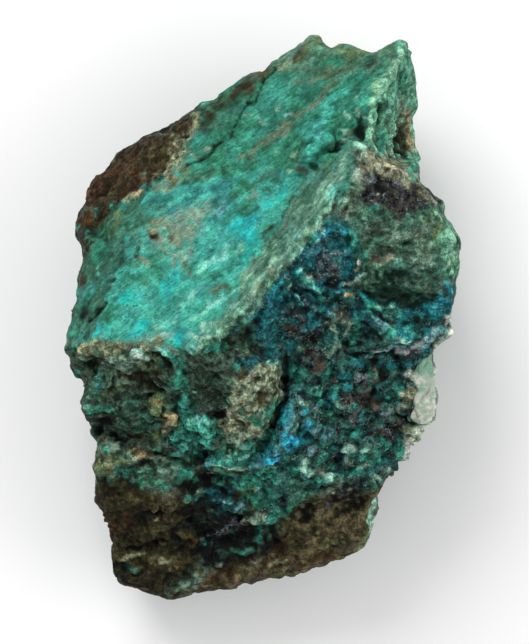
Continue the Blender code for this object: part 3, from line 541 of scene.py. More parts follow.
    # In the cliff, the tiny mint spot at X -16.8, Y -21.5 and the thin mint lines along the ledge near Y
    # -20.5 are painted highlights, and the brown hollow just under the cream rim near X -23.5, Y -6 is partly
    # painted shade.
    "the cliff, the recess under the crest and the ledge": """
        cliff -17.8 -13.2 3.4 2.8 -11 .9, -18.8 -12.4 1.4 .8 -21 .1, -3.4 -4.8 1.8 1 30 .2,
        -7 -5.4 2 .7 -20 .1, -8.4 -7.6 1.8 1.8 1 .3, -4.4 -17.6 1.4 .6 1 -.2;
        dark_green -22 -11.2 1.2 .6 0 .3, -16.4 -14.2 1.8 1.2 30 .2, -13 -21.4 2.8 1.2 1 .4;
        cream -17.3 -4.9 1.3 .9 10 .6, -21.4 -4.7 1.6 .5 0 .2, -.8 -7.3 2.4 .4 15 .4, -3 -8.3 .9 .3 41 .2,
        -2.2 -11.4 .5 .3 30 .3, -3.6 -13.4 .9 .7 -30 .4, -2.2 -15.9 1 .5 61 .3;
        quartz_rock -3.9 -4.4 .25 .2 1 .1; pink_crust -2 -6.8 .6 .3 40 .2; soot -14.2 -5.6 1.7 .3 -38 -.5,
        -19.8 -16.4 2.4 .3 -10 -.4, -16.6 -20.4 1.3 .5 0 -.4, -7.8 -22.4 1.8 .9 11 -.4,
        -4.4 -2.8 1.5 .6 50 -.4, -7.2 -9.6 2.2 .7 0 -.2, -7.6 -29.4 2.2 .9 16 -.2;
        deep_teal -11.6 -8.2 2.6 1.1 81 .5, -10.9 -11.8 2.2 1 85 .5, -23.4 -11.4 1.4 1.2 81 .4,
        -19.4 -15 1.3 .5 -30 .1, -10.8 -21.2 1.2 .9 1 .3, -5 -21.8 1.2 .5 0 .1, 1 -16.4 1.3 .9 50 .1;
        crack -18.8 -12.8 1.6 .7 0 -.1, -11.3 -9.9 .6 .8 1 -.1; rim_brown -23.6 -6.1 1.8 .9 0 -.4,
        -16.8 -7.8 3 1.3 -6 -.2, -16.8 -16.6 1.6 .8 -10 -.1; grey_green -20.6 -5.8 1.4 .6 -11 .2,
        -18.8 -6.4 1.8 .6 -6 .2, -21 -8.3 2 1.2 -26 .4, -21.4 -18.4 1.5 1 1 .2, -18.4 -19.6 1 .3 -11 .1,
        -13.4 -21 1.4 .5 0 .1, -20.6 -8.2 1.8 .7 -20 .2, -5 -8.2 1.2 .5 31 .2, -4.2 -16.4 1.2 .6 -20 .2;
        olive_skin -20.6 -10.4 1.6 .7 31 .3, -17.2 -18.3 1.6 .8 -11 .4, -21.6 -20.2 1.8 1.4 1 .2,
        .4 -10.4 2.4 .9 66 -.1, -1.2 -12.2 .9 .3 61 -.1; olive_rock -8.4 -9.2 1.4 .5, 1.9 -9.6 1.8 .6 70;
        copper_green -15.8 -22.8 2.8 .7 -8 .3, -6.6 -4 1.5 .8 41 .1, -.4 -14 2.2 .9 43 .2,
        1.4 -12.2 1.5 .5 50 .1; sage_rock -18.8 -18.7 1.9 .6 -11 .5, -1.6 -9.6 1.6 1 41 .2,
        -1.2 -16.4 1.3 .8 31 .2; cliff -6.4 -11.4 1.4 1.6 0 -.2, -2.4 -9.8 .9 .4 40 -.15;
        moss -15.8 -5.8 1.3 .8 -25 .1, -21.9 -20.6 1.6 1 10 .1, -20.2 -19.7 1.8 .6 -10 .2,
        -21.4 -4.4 1.6 .4 1 -.1, -20.4 -19.8 1.3 .6 1 .1; sage -15.7 -3.9 1.4 .7 15 .3,
        -18.8 -18.9 .9 .4 0 .1; cream -20 -7.4 .8 .3 -21 .1, -21.8 -20.2 1.2 .7 11 .1, -16 -4 .8 .4 15 .1;
        soot -23.8 -6 1.1 .5 1 -.4, -15.2 -9 2 .6 -11 -.3, -22.5 -14.2 1.3 1.6 1 -.5, -6 -13 .9 .5 1 -.3;
        rim_brown -23.4 -5.8 1 .6 0 -.2, -17.6 -8.4 2.2 1.1 -21 -.1; dark_green -23 -9 1.6 1 50 .5;
        blue -22.9 -9.4 .7 .35 76, -1.8 -5.8 1.4 .5 11 .1; moss -14.2 -12.2 2.3 1 -61 .4,
        -21.2 -9.9 1.9 .8 11 .3; tan -12.8 -14 1.1 .7 -10 .6, -14.4 -11.6 .9 .35 -55 .1,
        -17 -18.2 .7 .4 -10 .2; olive_skin -13.4 -15.2 1.1 .8 20 .4; tan -13.5 -15 .5 .25 21 .1;
        moss -14.2 -15.8 1.2 .7 21 .1; navy -2.6 -6 1 .4 -10; rust -2.6 -14.8 1.2 .2 -40;
        sage_rock -2.6 -15.8 1.2 .6 40 .2; mint -17.3 -4.9 1.2 .8 10 .2, -9.3 -10.3 .3 .2 1 .1,
        -16.8 -21.5 .15 .12 1, -2.2 -17.2 1.4 .6 21 .3, -2.4 -17.3 .7 .4 11 .1, -4.2 -20.9 1.6 .12 -5 .2,
        -2.6 -20.8 1.4 .12 4 .2; white_grain -17.4 -5.1 .5 .3 11; deep_teal -21.6 -12.6 1.6 .3 1 .3,
        -9.4 -16 3.4 2.2 6 .25, -19.6 -21.2 1.6 .9 -10 .5; lit_teal -11.9 -7.6 1.6 .5 78 .2,
        -10.8 -11.6 1.6 .5 86 .2, -10.6 -15.2 1.2 .9 31 .1, -8.6 -17.2 1.4 .6 -10 .1,
        -9.2 -14.4 2.6 1.1 3 .3, -7.4 -16.2 1.4 .8 31 .2, -10.8 -16.6 1.6 .6 -20 .1, -21.8 -18.2 .5 .5 0 .1,
        -6.5 -15.8 .6 .5 30 .1, -.6 -18.2 .9 .6 51 .2, -1.4 -17.3 1.4 .6 10 .1;
        pale_turquoise -13.4 -4.7 1.5 .4 -45 .2, -8.8 -14 1.3 .3 2 .15; soot -8.6 -19.2 1.5 .8 41 -.6,
        -14 -19 2.8 .3 -19 -.4; grey_green -14.4 -19.8 1.7 .6 -10 .2, -11.4 -14.2 1.1 .6 71 .1;
        cream -5 -15.2 1.2 .4 -25 .2; deep_teal -9.8 -18.8 1.3 .7 -20 .2, -4 -19.4 3.6 1.6 6 .3;
        azure -6.2 -20 1.5 .5 9 .2, -1 -20.2 .8 .5 1 .2; lit_teal -12.4 -5.4 1.6 .8 -60 .3,
        -3.6 -19.2 2 .8 6 .3, -4.6 -19.9 1.6 .5 5 .1; mint -10.4 -17.6 .9 .15 -61 .1,
        -12.3 -16.4 .8 .15 -20 .1, -7.8 -15.4 .7 .15 -21 .1, -4.9 -18.8 .7 .25 70 .2,
        -3.4 -18.4 .5 .2 100 .2, -5.2 -20.4 2 .13 -8 .2; deep_teal -11.8 -18 1.8 1 -26 .4,
        -8.3 -15.8 .9 .6 1; copper_green -11.2 -5.4 1.1 .6 -70 .1, -9.8 -12.8 1.2 .5 80 .1;
        purple_grey -12.8 -17.9 1.3 .2 -20 .2; turquoise -1.6 -17.9 1.3 .9 30 .4;
        lit_teal -1.3 -19 1.2 .6 21 .2; mint -1.9 -18.6 .6 .25 21 .2; soot -5.6 -20.7 1.6 .1 -6 -.1""",
    # The black of the hollow here is painted shadow in a real hollow.
    "the foot and the black hollow": """
        brown_rock -13.2 -25.6 2 1.4 30 .7, -14.2 -29.4 1.8 1.1 21 .5, 9.8 -30.6 3.6 1.4 24 .3,
        1.4 -34.6 3 .4 30 .3; soot -16.2 -27.2 2.4 .7 15 -.4, -12 -30.4 1.2 1.6 1 -.4, -17 -32 3.4 .4 4 -.4,
        -17.4 -35.4 2 .3 -7 -.3, -9 -28.6 1.8 1.6 70 -.4, -3.4 -30.8 2.8 .6 19 -.4, 6.6 -27 1.5 .9 50 -.5,
        12.2 -25.6 2.8 1.5 10 -.3; olive_skin -17.4 -24.8 3.4 .8 1 .3, -15.4 -33.6 4.4 1.1 -5 .4;
        cream -15 -28.2 .6 .25 40 .1, -18.4 -33.2 1.6 .35 10 .2, -14.2 -33.7 1.6 .35 -11 .2,
        -.4 -27.4 .6 .15 15 .1, 2.6 -33.9 1.2 .12 31 .1; olive_rock -20.4 -25 2.4 1.6 71 .3,
        -16.8 -30.4 2.2 .8 -10 .3, 7 -25 1.8 .5 21 .3, 9.6 -27.8 1.8 .8 31, 5 -30 1.8 1 30 .2;
        dark_green -18.7 -34.6 .7 .4 1 -.2, -3.6 -32.6 2.6 .6 18 .4; rust -3.2 -28.9 3.4 .6 23 .9,
        -1.6 -36 2.8 .4 21 .3; purple_grey -3.8 -28.7 2.4 .3 22 .2, -6.6 -30 1.2 .2 36 .3,
        9 -26.4 .7 .5 61 .3, 11.6 -24 .6 .5 1 .4; navy -4.2 -26.2 2.3 1.1 20 .3, -7 -24.8 1.6 .9 11 .3;
        copper_green -.8 -26 1.5 .9 41 .1, -3.2 -32.4 1.2 .25 17 .2; quartz 10.4 -24.2 .25 .2 1 .1,
        6.1 -26.3 .25 .2 0 .1; skin -20.2 -28.4 2.6 1.6 60 .3, -16.6 -36.8 3.6 1 -6, -1.2 -33.9 2.2 .9 26;
        cliff -9.8 -36.2 1.6 .8 20 .2, -11.2 -37.6 2 .9 20 .2; grey_green -9.6 -36 .7 .3 21 .1,
        -11.4 -37.8 .9 .3 21 .1, -2.4 -28.2 1.2 .15 23 .1, -.4 -27.8 1.4 .3 16 .4;
        brown_rock -12.4 -34.6 1.6 .6 -14 .3; deep_teal -21.4 -33 2.2 .35 91;
        olive_rock -7.8 -35.2 1.6 .8 16; black_rock -5.8 -33.6 2 .9 20, .8 -32 1.6 .9 45,
        13.2 -23.5 1.9 1.1 16 .2; soot -19.6 -36.6 1 1 0 -.2, -4.4 -34.4 2.8 .8 15 -.3;
        quartz_rock -8.2 -31.1 .4 .25 21 .2, -6.4 -34.8 .5 .3 0 .2; skin -5.6 -36.2 3 .8 15,
        2 -32.4 2.6 .7 41 -.2; blue_grey -5.4 -25.4 1.2 .25 10 .2; mint 15.6 -27.8 2.4 .5 84;
        moss 14.6 -31 1.6 .6 71; red_brown 8 -33.8 3.2 .8 22; soot 2.6 -30.8 1.8 .4 46 -.4""",
}

# Seams and cracks: mineral, half width, how far they stand out, and the route, in millimetres.
SEAMS = [
    ("sage", 0.4, 0.06, [(-9.5, -4.2), (-6, -1.8), (-2.6, 1.4), (1.5, 6.2), (5.8, 11.4), (9.2, 15.4)]),
    ("strip_sage", 0.4, 0.06, [(-8.6, -2.6), (-4.6, 1.2), (0.2, 6.8), (4.6, 12), (8.4, 16.6), (11.4, 20.4)]),
    ("cream", 0.75, 0.15, [(-24.8, -3.9), (-22.5, -3.5), (-19, -3.7), (-17.4, -3.2), (-15, -2.8)]),
    ("crack", 0.22, -0.25, [(2.1, 35.9), (0.2, 33), (-1.2, 31), (-3.6, 28.6), (-4.6, 26),
        (-6.5, 24.2), (-8, 22.6), (-10.4, 21.5)]),
    ("dark_green", 0.35, -0.2, [(-17, 17.4), (-19.4, 11.4), (-20.4, 7.4), (-21.8, 4.6), (-23.6, 1.4),
        (-24.6, -2.6)]),
    ("soot", 0.35, -0.35, [(-22, 2.8), (-25, 0.2)]),
    ("sage", 0.5, 0.25, [(19.8, 38), (18.2, 35), (16.6, 32.2), (15.6, 30.4)]),
    ("crack", 0.4, -0.2, [(3.2, -5.8), (3.3, -10.6), (2.6, -12)]),
    ("soot", 0.4, -0.3, [(2.8, -11.4), (2, -13.4), (1.1, -15.2)]),
    ("rust", 0.18, -0.1, [(14.6, 35.2), (16.4, 36.5)]),
    ("soot", 0.25, -0.25, [(7, 1.6), (9.4, -0.4)]),
    ("soot", 0.25, -0.25, [(15, 2), (17.4, 0.2)]),
    ("soot", 0.22, -0.2, [(14.4, -0.6), (16.8, -2.8)]),
]

# Loose crystals and crumbs grown on the breaks: mineral, number, smallest and largest radius, and how far
# they stand out for each millimetre of radius.
CRUMBS = [
    (GRANULAR, """blue 50 .5 1 .3, navy 60 .5 1.3 .25, deep_teal 50 .5 1.2 .3, soot 70 .4 1 -.3,
        black_crust 50 .5 1.2 .2, grey_green 34 .3 .6 .3, purple_grey 34 .4 .8 .2, rust 16 .4 .8 .2,
        lit_teal 20 .3 .6 .25"""),
    (BLUE_BREAK, """navy 40 .6 1.4 .2, soot 44 .4 .9 -.2, mint 8 .15 .3 .2, deep_teal 26 .4 .9 .2,
        black_crust 14 .4 1 .1, blue_grey 10 .3 .6 .1, teal_blue 20 .4 .9 .1"""),
    (BLUE_BAND, """blue 30 .5 1 .1, lit_teal 16 .3 .6 .15, black_crust 12 .3 .6 .1"""),
    (CLIFF, """soot 26 .5 1.1 -.25, grey_green 26 .3 .7 .2, deep_teal 50 .5 1.2 .2,
        olive_skin 40 .6 1.3 .2, dark_green 50 .6 1.4 .2"""),
    (BLOCK, """cream 24 .25 .6 .2, soot 26 .25 .6 -.2, grey_green 14 .3 .7 .1"""),
    (LEFT_FOOT, """skin 40 .7 1.6 .15, soot 36 .5 1.2 -.2, olive_skin 24 .5 1.2 .15"""),
    (RIGHT_FOOT, """olive_rock 40 .6 1.4 .15, skin 24 .4 .9 -.15"""),
    (SHADED_HOLLOW, """cliff 14 .3 .7 .2, deep_teal 14 .3 .8 .2, purple_grey 8 .2 .4 .2"""),
    (SHOULDER, """grey_green 22 .8 1.6 .05, dark_green 34 .4 1.2 -.1, sage 10 .3 .6 .1,
        cliff 16 .3 .8 -.1"""),
    (BLACK_CRUST, """purple_grey 30 .3 .6 .3, soot 30 .3 .8 -.3, cream_crust 12 .2 .4 .2"""),
    (CREAM_CRUST, """sage_rock 16 .2 .5 .3, rust 18 .3 .6 .1, grey_green 16 .3 .6 .15"""),
    (SKIN, """olive_skin 40 .5 1.2 .15, soot 26 .3 .8 -.2"""),
    (LEFT_STRIP, """copper_green 30 .5 1.2 .1, soot 8 .2 .4 -.15"""),
    (SLIP, """teal_film 40 .5 1.2 0, pale_turquoise 50 .15 .4 .05, dark_green 40 .12 .25 -.15,
        copper_green 30 .4 .9 0"""),
    (UPPER_SLIP, """lit_teal 40 .4 1 0, dusty 24 .3 .7 0"""),
    (BACK_FACE, """copper_green 16 .4 1 .1"""),
]

# The size of the ragged edges, from fine to coarse, and of the bends in every outline, in millimetres.
RAGGED_SIZES = (0.8, 1.5, 3.2)
BEND_SIZE = 2.8
CRUMB_SEED = 7


def linear(hex_colour):
    """An sRGB hex colour as linear values."""
    values = [int(hex_colour[i : i + 2], 16) / 255 for i in (0, 2, 4)]
    return [v / 12.92 if v <= 0.04045 else ((v + 0.055) / 1.055) ** 2.4 for v in values]


def make_up(name):
    """A mineral as one row: ground colour, grain colour, and its three shares."""
    ground, grain, *shares = MINERALS[name]
    return np.array(linear(ground) + linear(grain) + shares)


def ragged(share, field, thin=0.0):
    """Breaks up the soft edge of a patch with a noise field, and thins the patch itself in places."""
    share = np.clip(share + 2.8 * field * share * (1 - share), 0, 1)
    return share * np.clip(1 - thin * (0.5 - 1.6 * field), 0, 1)


def noise_field(points, size, shift):
    """Smooth noise from about -1 to 1 at each point."""
    shift = Vector(shift)
    return np.array([noise.noise(Vector(p) / size + shift) * 1.6 for p in points])


def parts_of(table, mark):
    """The parts of a table that is written over several lines."""
    return " ".join(table.split()).split(mark)


def all_patches():
    """Every patch in its order: its mineral and its six values."""
    for table in PATCHES.values():
        for entry in parts_of(table, "; "):
            name, marks = entry.split(" ", 1)
            for mark in marks.split(", "):
                values = [float(value) for value in mark.split()]
                yield name, *values, *[0.0] * (6 - len(values))


def grow_minerals(points, normals):
    """The make-up of each point as one row, and how far its minerals stand out."""
    x, y = seen_from_above(points)
    facing = normals[:, 2]
    fields = [noise_field(points, size, (size, 3, 7)) for size in RAGGED_SIZES]
    x = x + 0.55 * noise_field(points, BEND_SIZE, (1, 2, 3)) + 0.25 * fields[0]
    y = y + 0.55 * noise_field(points, BEND_SIZE, (4, 5, 6)) + 0.25 * fields[1]
    up = rise(facing, -0.15, 0.2)
    rows = np.tile(make_up("quartz_rock"), (len(x), 1))
    heights = np.zeros(len(x))

    def lay(name, share, height=0.0, where=slice(None)):
        rows[where] = rows[where] * (1 - share[:, None]) + make_up(name) * share[:, None]
        heights[where] += height * share

    stain = noise_field(points, 8.0, (3, 1, 8)) + 0.4 * fields[2]
    vein = noise_field(points, 5.0, (9, 4, 2)) + 0.3 * fields[1]
    lay("olive_rock", rise(stain, 0.1, 0.4))
    lay("strip_green", rise(vein, 0.15, 0.4))
    lay("lit_teal", rise(np.abs(vein - stain), 0.12, 0.0) * 0.8, 0.1)
    lay("skin", rise(stain, -0.4, -0.7))
    for index, (name, outline, feather) in enumerate(FACES):
        lay(name, ragged(cover(x, y, facing, outline, feather), fields[index % 3]))
    # crumbs are round, so they are placed on the surface itself
    tree = kdtree.KDTree(len(points))
    for index, point in enumerate(points):
        tree.insert(point, index)
    tree.balance()
    for outline, table in CRUMBS:
        face = np.nonzero((within(x, y, outline) > 0) & (facing > 0.05))[0]
        for crumb in parts_of(table, ", "):
            name, *values = crumb.split()
            number, smallest, largest, height = [float(value) for value in values]
            for centre in random.choice(face, min(int(number), len(face)), replace=False):
                radius = random.uniform(smallest, largest)
                found = tree.find_range(points[centre], 1.25 * radius)
                near = np.array([index for _, index, _ in found])
                reach = np.array([distance for _, _, distance in found]) / radius
                share = ragged(1 - rise(reach, 0.4, 1.25), fields[0][near], 0.6)
                lay(name, share, height * radius, near)
    for name, cx, cy, half_length, half_width, degrees, height in all_patches():
        near = np.nonzero(np.maximum(abs(x - cx), abs(y - cy)) < 1.7 * half_length)[0]
        turn = math.radians(degrees)
        along = (x[near] - cx) * math.cos(turn) + (y[near] - cy) * math.sin(turn)
        across = (y[near] - cy) * math.cos(turn) - (x[near] - cx) * math.sin(turn)
        reach = np.hypot(along / half_length, across / half_width)
        share = (1 - rise(reach, 0.35, 1.5)) * up[near]
        thin = 0.5 if half_width > 0.5 else 0.1
        lay(name, ragged(share, fields[int(degrees) % 2][near], thin), height, near)
    for name, half_width, height, route in SEAMS:
        reach = near_route(x, y, route) / half_width
        lay(name, ragged((1 - rise(reach, 0.3, 1.6)) * up, fields[0] * min(1, 2 * half_width), 0.3), height)
    return rows, heights


def store(piece, name, kind, values):
    """Keeps one value or one colour for each point of the mesh."""
    kept = piece.data.attributes.new(name, kind, "POINT")
    if kind == "FLOAT_COLOR":
        values = np.concatenate([values, np.ones((len(values), 1))], axis=1)
    field = "color" if kind == "FLOAT_COLOR" else "value"
    kept.data.foreach_set(field, values.astype(np.float32).ravel())


random = np.random.default_rng(CRUMB_SEED)
points, normals = read_mesh(stone)
rows, heights = grow_minerals(points, normals)
x, y = seen_from_above(points)
silky = cover(x, y, normals[:, 2], SLIP) * (1 - cover(x, y, normals[:, 2], SKIN))
store(stone, "ground", "FLOAT_COLOR", rows[:, 0:3])
store(stone, "grain", "FLOAT_COLOR", rows[:, 3:6])
for name, values in zip(("grains", "pits", "painted_glint_share"), rows[:, 6:].T):
    store(stone, name, "FLOAT", values)
store(stone, "silky", "FLOAT", silky)
store(stone, "strip", "FLOAT", cover(x, y, normals[:, 2], STRIP))
lift(stone, relief(points, normals, False) + heights)


def hollows(piece):
    """How deep each point lies among its neighbours, from -1 on edges to 1 in hollows."""
    points, normals = read_mesh(piece)
    edges = np.zeros(len(piece.data.edges) * 2, np.int64)
    piece.data.edges.foreach_get("vertices", edges)
    first, second = edges.reshape(-1, 2).T
    count = np.bincount(edges, minlength=len(points))
    smooth = points.copy()
    depth = np.zeros(len(points))
    for turns in (3, 12):
        for _ in range(turns):
            for axis in range(3):
                gathered = np.bincount(first, smooth[second, axis], len(points))
                gathered += np.bincount(second, smooth[first, axis], len(points))
                smooth[:, axis] = gathered / count
        depth += ((smooth - points) * normals).sum(1)
    return np.clip(depth / 0.5, -1, 1)


store(stone, "hollow", "FLOAT", hollows(stone))

# The underside and the sides are thinned most.
points, normals = read_mesh(stone)
hidden = stone.vertex_groups.new(name="hidden")
hidden_share = 0.05 + 0.95 * (1 - rise(normals[:, 2], -0.3, 0.25))
for index, share in enumerate(hidden_share):
    hidden.add([index], float(share), "REPLACE")
ratio = min(1.0, TRIANGLE_LIMIT / (len(stone.data.polygons) * 2))
add_modifier(stone, "DECIMATE", ratio=ratio, vertex_group="hidden", vertex_group_factor=1.0)
stone.vertex_groups.clear()


def start_material(name):
    """A new material, its node tree and its surface node."""
    made = bpy.data.materials.new(name)
    made.use_nodes = True
    return made, made.node_tree, made.node_tree.nodes["Principled BSDF"]


def dress(piece, material):
    """Gives a piece its material and smooth shading."""
    piece.data.materials.clear()
    piece.data.materials.append(material)
    for polygon in piece.data.polygons:
        polygon.use_smooth = True


def add(kind, inputs=None, **settings):
    """Adds one node, sets its properties, and sets or links its inputs."""
    made = tree.nodes.new(kind)
    for name, value in settings.items():
        setattr(made, name, value)
    for name, value in (inputs or {}).items():
        if isinstance(value, bpy.types.NodeSocket):
            tree.links.new(value, made.inputs[name])
        else:
            made.inputs[name].default_value = value
    return made


def kept(name, output="Fac"):
    return add("ShaderNodeAttribute", attribute_name=name).outputs[output]


def calc(kind, first, second=0.0):
    return add("ShaderNodeMath", {0: first, 1: second}, operation=kind).outputs[0]


def curve(value, low, high, to_low=0.0, to_high=1.0):
    """A smooth step from one value to another."""
    limits = {"Value": value, "From Min": low, "From Max": high, "To Min": to_low, "To Max": to_high}
    return add("ShaderNodeMapRange", limits, interpolation_type="SMOOTHSTEP").outputs[0]


def blend(share, first, second, kind="MIX"):
    """A mix of two colours."""
    colours = {"Factor": share, 6: first, 7: second}
    return add("ShaderNodeMix", colours, data_type="RGBA", blend_type=kind).outputs[2]


def spaced(size, turn=0, stretch=(1, 1, 1), shift=(0, 0, 0)):
    """Places in units of this many millimetres, turned and drawn out."""
    turned = add("ShaderNodeVectorRotate", {"Vector": millimetres, "Angle": -math.radians(turn)},
                 rotation_type="Z_AXIS").outputs[0]
    scaled = add("ShaderNodeVectorMath", {0: turned, 1: [s / size for s in stretch]}, operation="MULTIPLY")
    return add("ShaderNodeVectorMath", {0: scaled.outputs[0], 1: shift}, operation="ADD").outputs[0]


def mottle(size, detail=3.0, rough=0.55, **place):
    spots = {"Vector": spaced(size, **place), "Scale": 1.0, "Detail": detail, "Roughness": rough}
    return add("ShaderNodeTexNoise", spots).outputs["Fac"]


def measure():
    """Places on the piece in millimetres."""
    places = {0: add("ShaderNodeTexCoord").outputs["Object"], 1: (1 / MM, 1 / MM, 1 / MM)}
    return add("ShaderNodeVectorMath", places, operation="MULTIPLY").outputs[0]


# Waxy where it is solid, dull and earthy where it is weathered. The eye sees grains of about half a
# millimetre, drawn out into streaks on the slip face, with painted shade in the hollows and lighter rubbed
# edges.
material, tree, surface = start_material("chrysocolla_in_matrix")
millimetres = measure()
silky = kept("silky")
rocky = calc("SUBTRACT", 1.0, calc("MULTIPLY", silky, 0.6))
granules = mottle(0.95, 6.0, 0.74)
slip_silk = mottle(0.50, 5.0, 0.68, turn=SLIP_STREAKS, stretch=(0.30, 1, 1))
strip_silk = mottle(0.42, 5.0, 0.66, turn=STRIP_STREAKS, stretch=(0.16, 1, 1))
silk = blend(kept("strip"), slip_silk, strip_silk)
pattern = blend(calc("MULTIPLY", silky, 0.6), granules, silk)
threshold = curve(kept("grains"), 0.0, 1.0, 0.62, 0.38)
grain_share = curve(calc("SUBTRACT", pattern, threshold), -0.10, 0.10)
colour = blend(grain_share, kept("ground", "Color"), kept("grain", "Color"))

# each crumb has its own tone, fine dust lies between, and patches of a few millimetres drift in tone and hue
bend = add("ShaderNodeTexNoise", {"Vector": spaced(0.5, shift=(8, 8, 8)), "Scale": 1.0, "Detail": 2.0})
bend = add("ShaderNodeVectorMath", {0: bend.outputs["Color"], 1: (0.7, 0.7, 0.7)}, operation="MULTIPLY")
bend = add("ShaderNodeVectorMath", {0: spaced(0.7), 1: bend.outputs[0]}, operation="ADD").outputs[0]
crumbs = add("ShaderNodeTexVoronoi", {"Vector": bend, "Scale": 1.0, "Smoothness": 0.35}, feature="SMOOTH_F1")
crumb_tone = add("ShaderNodeSeparateColor", {"Color": crumbs.outputs["Color"]}).outputs[0]
crumb_tone = curve(crumb_tone, 0.2, 0.8, 0.64, 1.46)
dust = curve(mottle(0.26, 4.0, 0.72, shift=(6, 2, 8)), 0.30, 0.70, 0.50, 1.55)
tone = add("ShaderNodeMix", {"Factor": rocky, 2: 1.0, 3: calc("MULTIPLY", crumb_tone, dust)}).outputs[0]
thread = blend(kept("strip"), mottle(0.24, 4.0, 0.7, turn=SLIP_STREAKS, stretch=(0.30, 1, 1)),
               mottle(0.20, 4.0, 0.7, turn=STRIP_STREAKS, stretch=(0.14, 1, 1)))
thread = add("ShaderNodeMix", {"Factor": silky, 2: 1.0, 3: curve(thread, 0.3, 0.7, 0.76, 1.24)}).outputs[0]
drift = curve(mottle(2.6, 4.0, 0.6, shift=(2, 9, 4)), 0.25, 0.75, 0.59, 1.11)
value = calc("MULTIPLY", calc("MULTIPLY", tone, thread), drift)
hue = curve(mottle(3.6, 2.0, 0.5, shift=(5, 5, 5)), 0.3, 0.7, 0.486, 0.514)
toned = add("ShaderNodeHueSaturation", {"Color": colour, "Hue": hue, "Value": value}).outputs[0]

# painted shade: the colour darkens with the depth of each hollow, and rubbed edges turn lighter
hollow = kept("hollow")
shade = curve(hollow, 0.0, 0.9, 1.0, 0.50)
rubbed = curve(hollow, -0.1, -0.9, 1.0, 1.35)
worn = add("ShaderNodeHueSaturation", {"Color": toned, "Value": calc("MULTIPLY", shade, rubbed)}).outputs[0]
# painted shade: fine dark dots stand for the shade in tiny pits, more where a mineral is more pitted
clusters = calc("MULTIPLY", calc("SUBTRACT", mottle(2.2, 2.0, 0.5, shift=(9, 1, 1)), 0.5), 0.5)
with_pit_shade = calc("ADD", mottle(0.30, 3.0, 0.6, shift=(1, 7, 3)), calc("MULTIPLY", kept("pits"), 0.10))
with_pit_shade = curve(calc("ADD", with_pit_shade, clusters), 0.66, 0.73)
with_pit_shade = blend(calc("MULTIPLY", with_pit_shade, 0.6), worn, (0.016, 0.028, 0.022, 1))
# painted highlights: pale specks in clusters stand in for glints off tiny crystal faces, more where a mineral
# has more of them
painted_glint_share = kept("painted_glint_share")
swarm = calc("MULTIPLY", calc("SUBTRACT", mottle(1.4, 2.0, 0.5, shift=(7, 5, 1)), 0.5), 0.5)
painted_glints = calc("ADD", mottle(0.36, 3.0, 0.7, shift=(3, 3, 3)), calc("MULTIPLY", painted_glint_share, 0.13))
painted_glints = curve(calc("ADD", painted_glints, swarm), 0.64, 0.76)
painted_glints = calc("MULTIPLY", painted_glints, curve(painted_glint_share, 0.0, 0.5, 0.0, 0.8))
with_painted_glints = blend(painted_glints, with_pit_shade, (0.25, 0.37, 0.36, 1))
tree.links.new(with_painted_glints, surface.inputs["Base Color"])
tree.links.new(curve(granules, 0.3, 0.7, 0.5, 0.85), surface.inputs["Roughness"])
surface.inputs["IOR"].default_value = 1.5
surface.inputs["Specular IOR Level"].default_value = 0.10
height = calc("ADD", calc("MULTIPLY", pattern, 0.8), calc("MULTIPLY", mottle(0.22, 3.0, 0.6), 0.4))
height = calc("SUBTRACT", height, calc("MULTIPLY", crumbs.outputs["Distance"], calc("MULTIPLY", rocky, 0.35)))
bump = add("ShaderNodeBump", {"Height": height, "Strength": 1.0, "Distance": 0.0004})
tree.links.new(bump.outputs[0], surface.inputs["Normal"])
dress(stone, material)
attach(stone, "root")
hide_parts("chrysocolla_stone")

# ---------------------------------------------------------------- the quartz at its right edge
# The broken end of a vein of milky quartz, glassy and slightly see-through, with a thin green film.
SHARD = [
    (22.9, -5), (24.1, -4.2), (24.3, -5.8), (24.5, -7.2), (24.4, -8.6), (24.7, -10.5), (24.7, -13),
    (24.3, -14.6), (22.8, -14.9), (21.5, -14.3), (21.1, -13.3), (21.9, -12.2), (21.6, -11),
    (22.4, -9.8), (21.6, -8.9), (21.2, -8), (21.9, -7.2), (22.3, -6.2),
]
SHARD_TOP = 25.2
SHARD_DEPTH = 5.0

bpy.ops.object.select_all(action="DESELECT")
bpy.ops.mesh.primitive_circle_add(vertices=len(SHARD), radius=MM, fill_type="NGON")
shard = bpy.context.active_object
shard.name = "quartz_shard"
for vertex, (x, y) in zip(shard.data.vertices, SHARD):
    vertex.co = Vector((x, y, SHARD_TOP - 0.08 * (x - 22) + 0.03 * (y + 10))) * MM
bpy.ops.object.mode_set(mode="EDIT")
bpy.ops.mesh.select_all(action="SELECT")
inward = (-0.4 * SHARD_DEPTH * MM, 0, -SHARD_DEPTH * MM)
bpy.ops.mesh.extrude_region_move(TRANSFORM_OT_translate={"value": inward})
bpy.ops.mesh.select_all(action="SELECT")
bpy.ops.mesh.normals_make_consistent(inside=False)
bpy.ops.object.mode_set(mode="OBJECT")
add_modifier(shard, "BEVEL", width=0.4 * MM, segments=2)
add_modifier(shard, "REMESH", mode="VOXEL", voxel_size=0.2 * MM)
points, normals = read_mesh(shard)
grow = VIEW_HEIGHT / (VIEW_HEIGHT - points[:, 2:] + RIM_HEIGHT)
points[:, :2] /= grow
bumps = [0.4 * chunk(Vector(p), 3.0) + 0.2 * noise.fractal(Vector(p) / 1.3, 0.9, 2.0, 4) for p in points]
write_points(shard, points + normals * (np.array(bumps) - 0.25)[:, None])

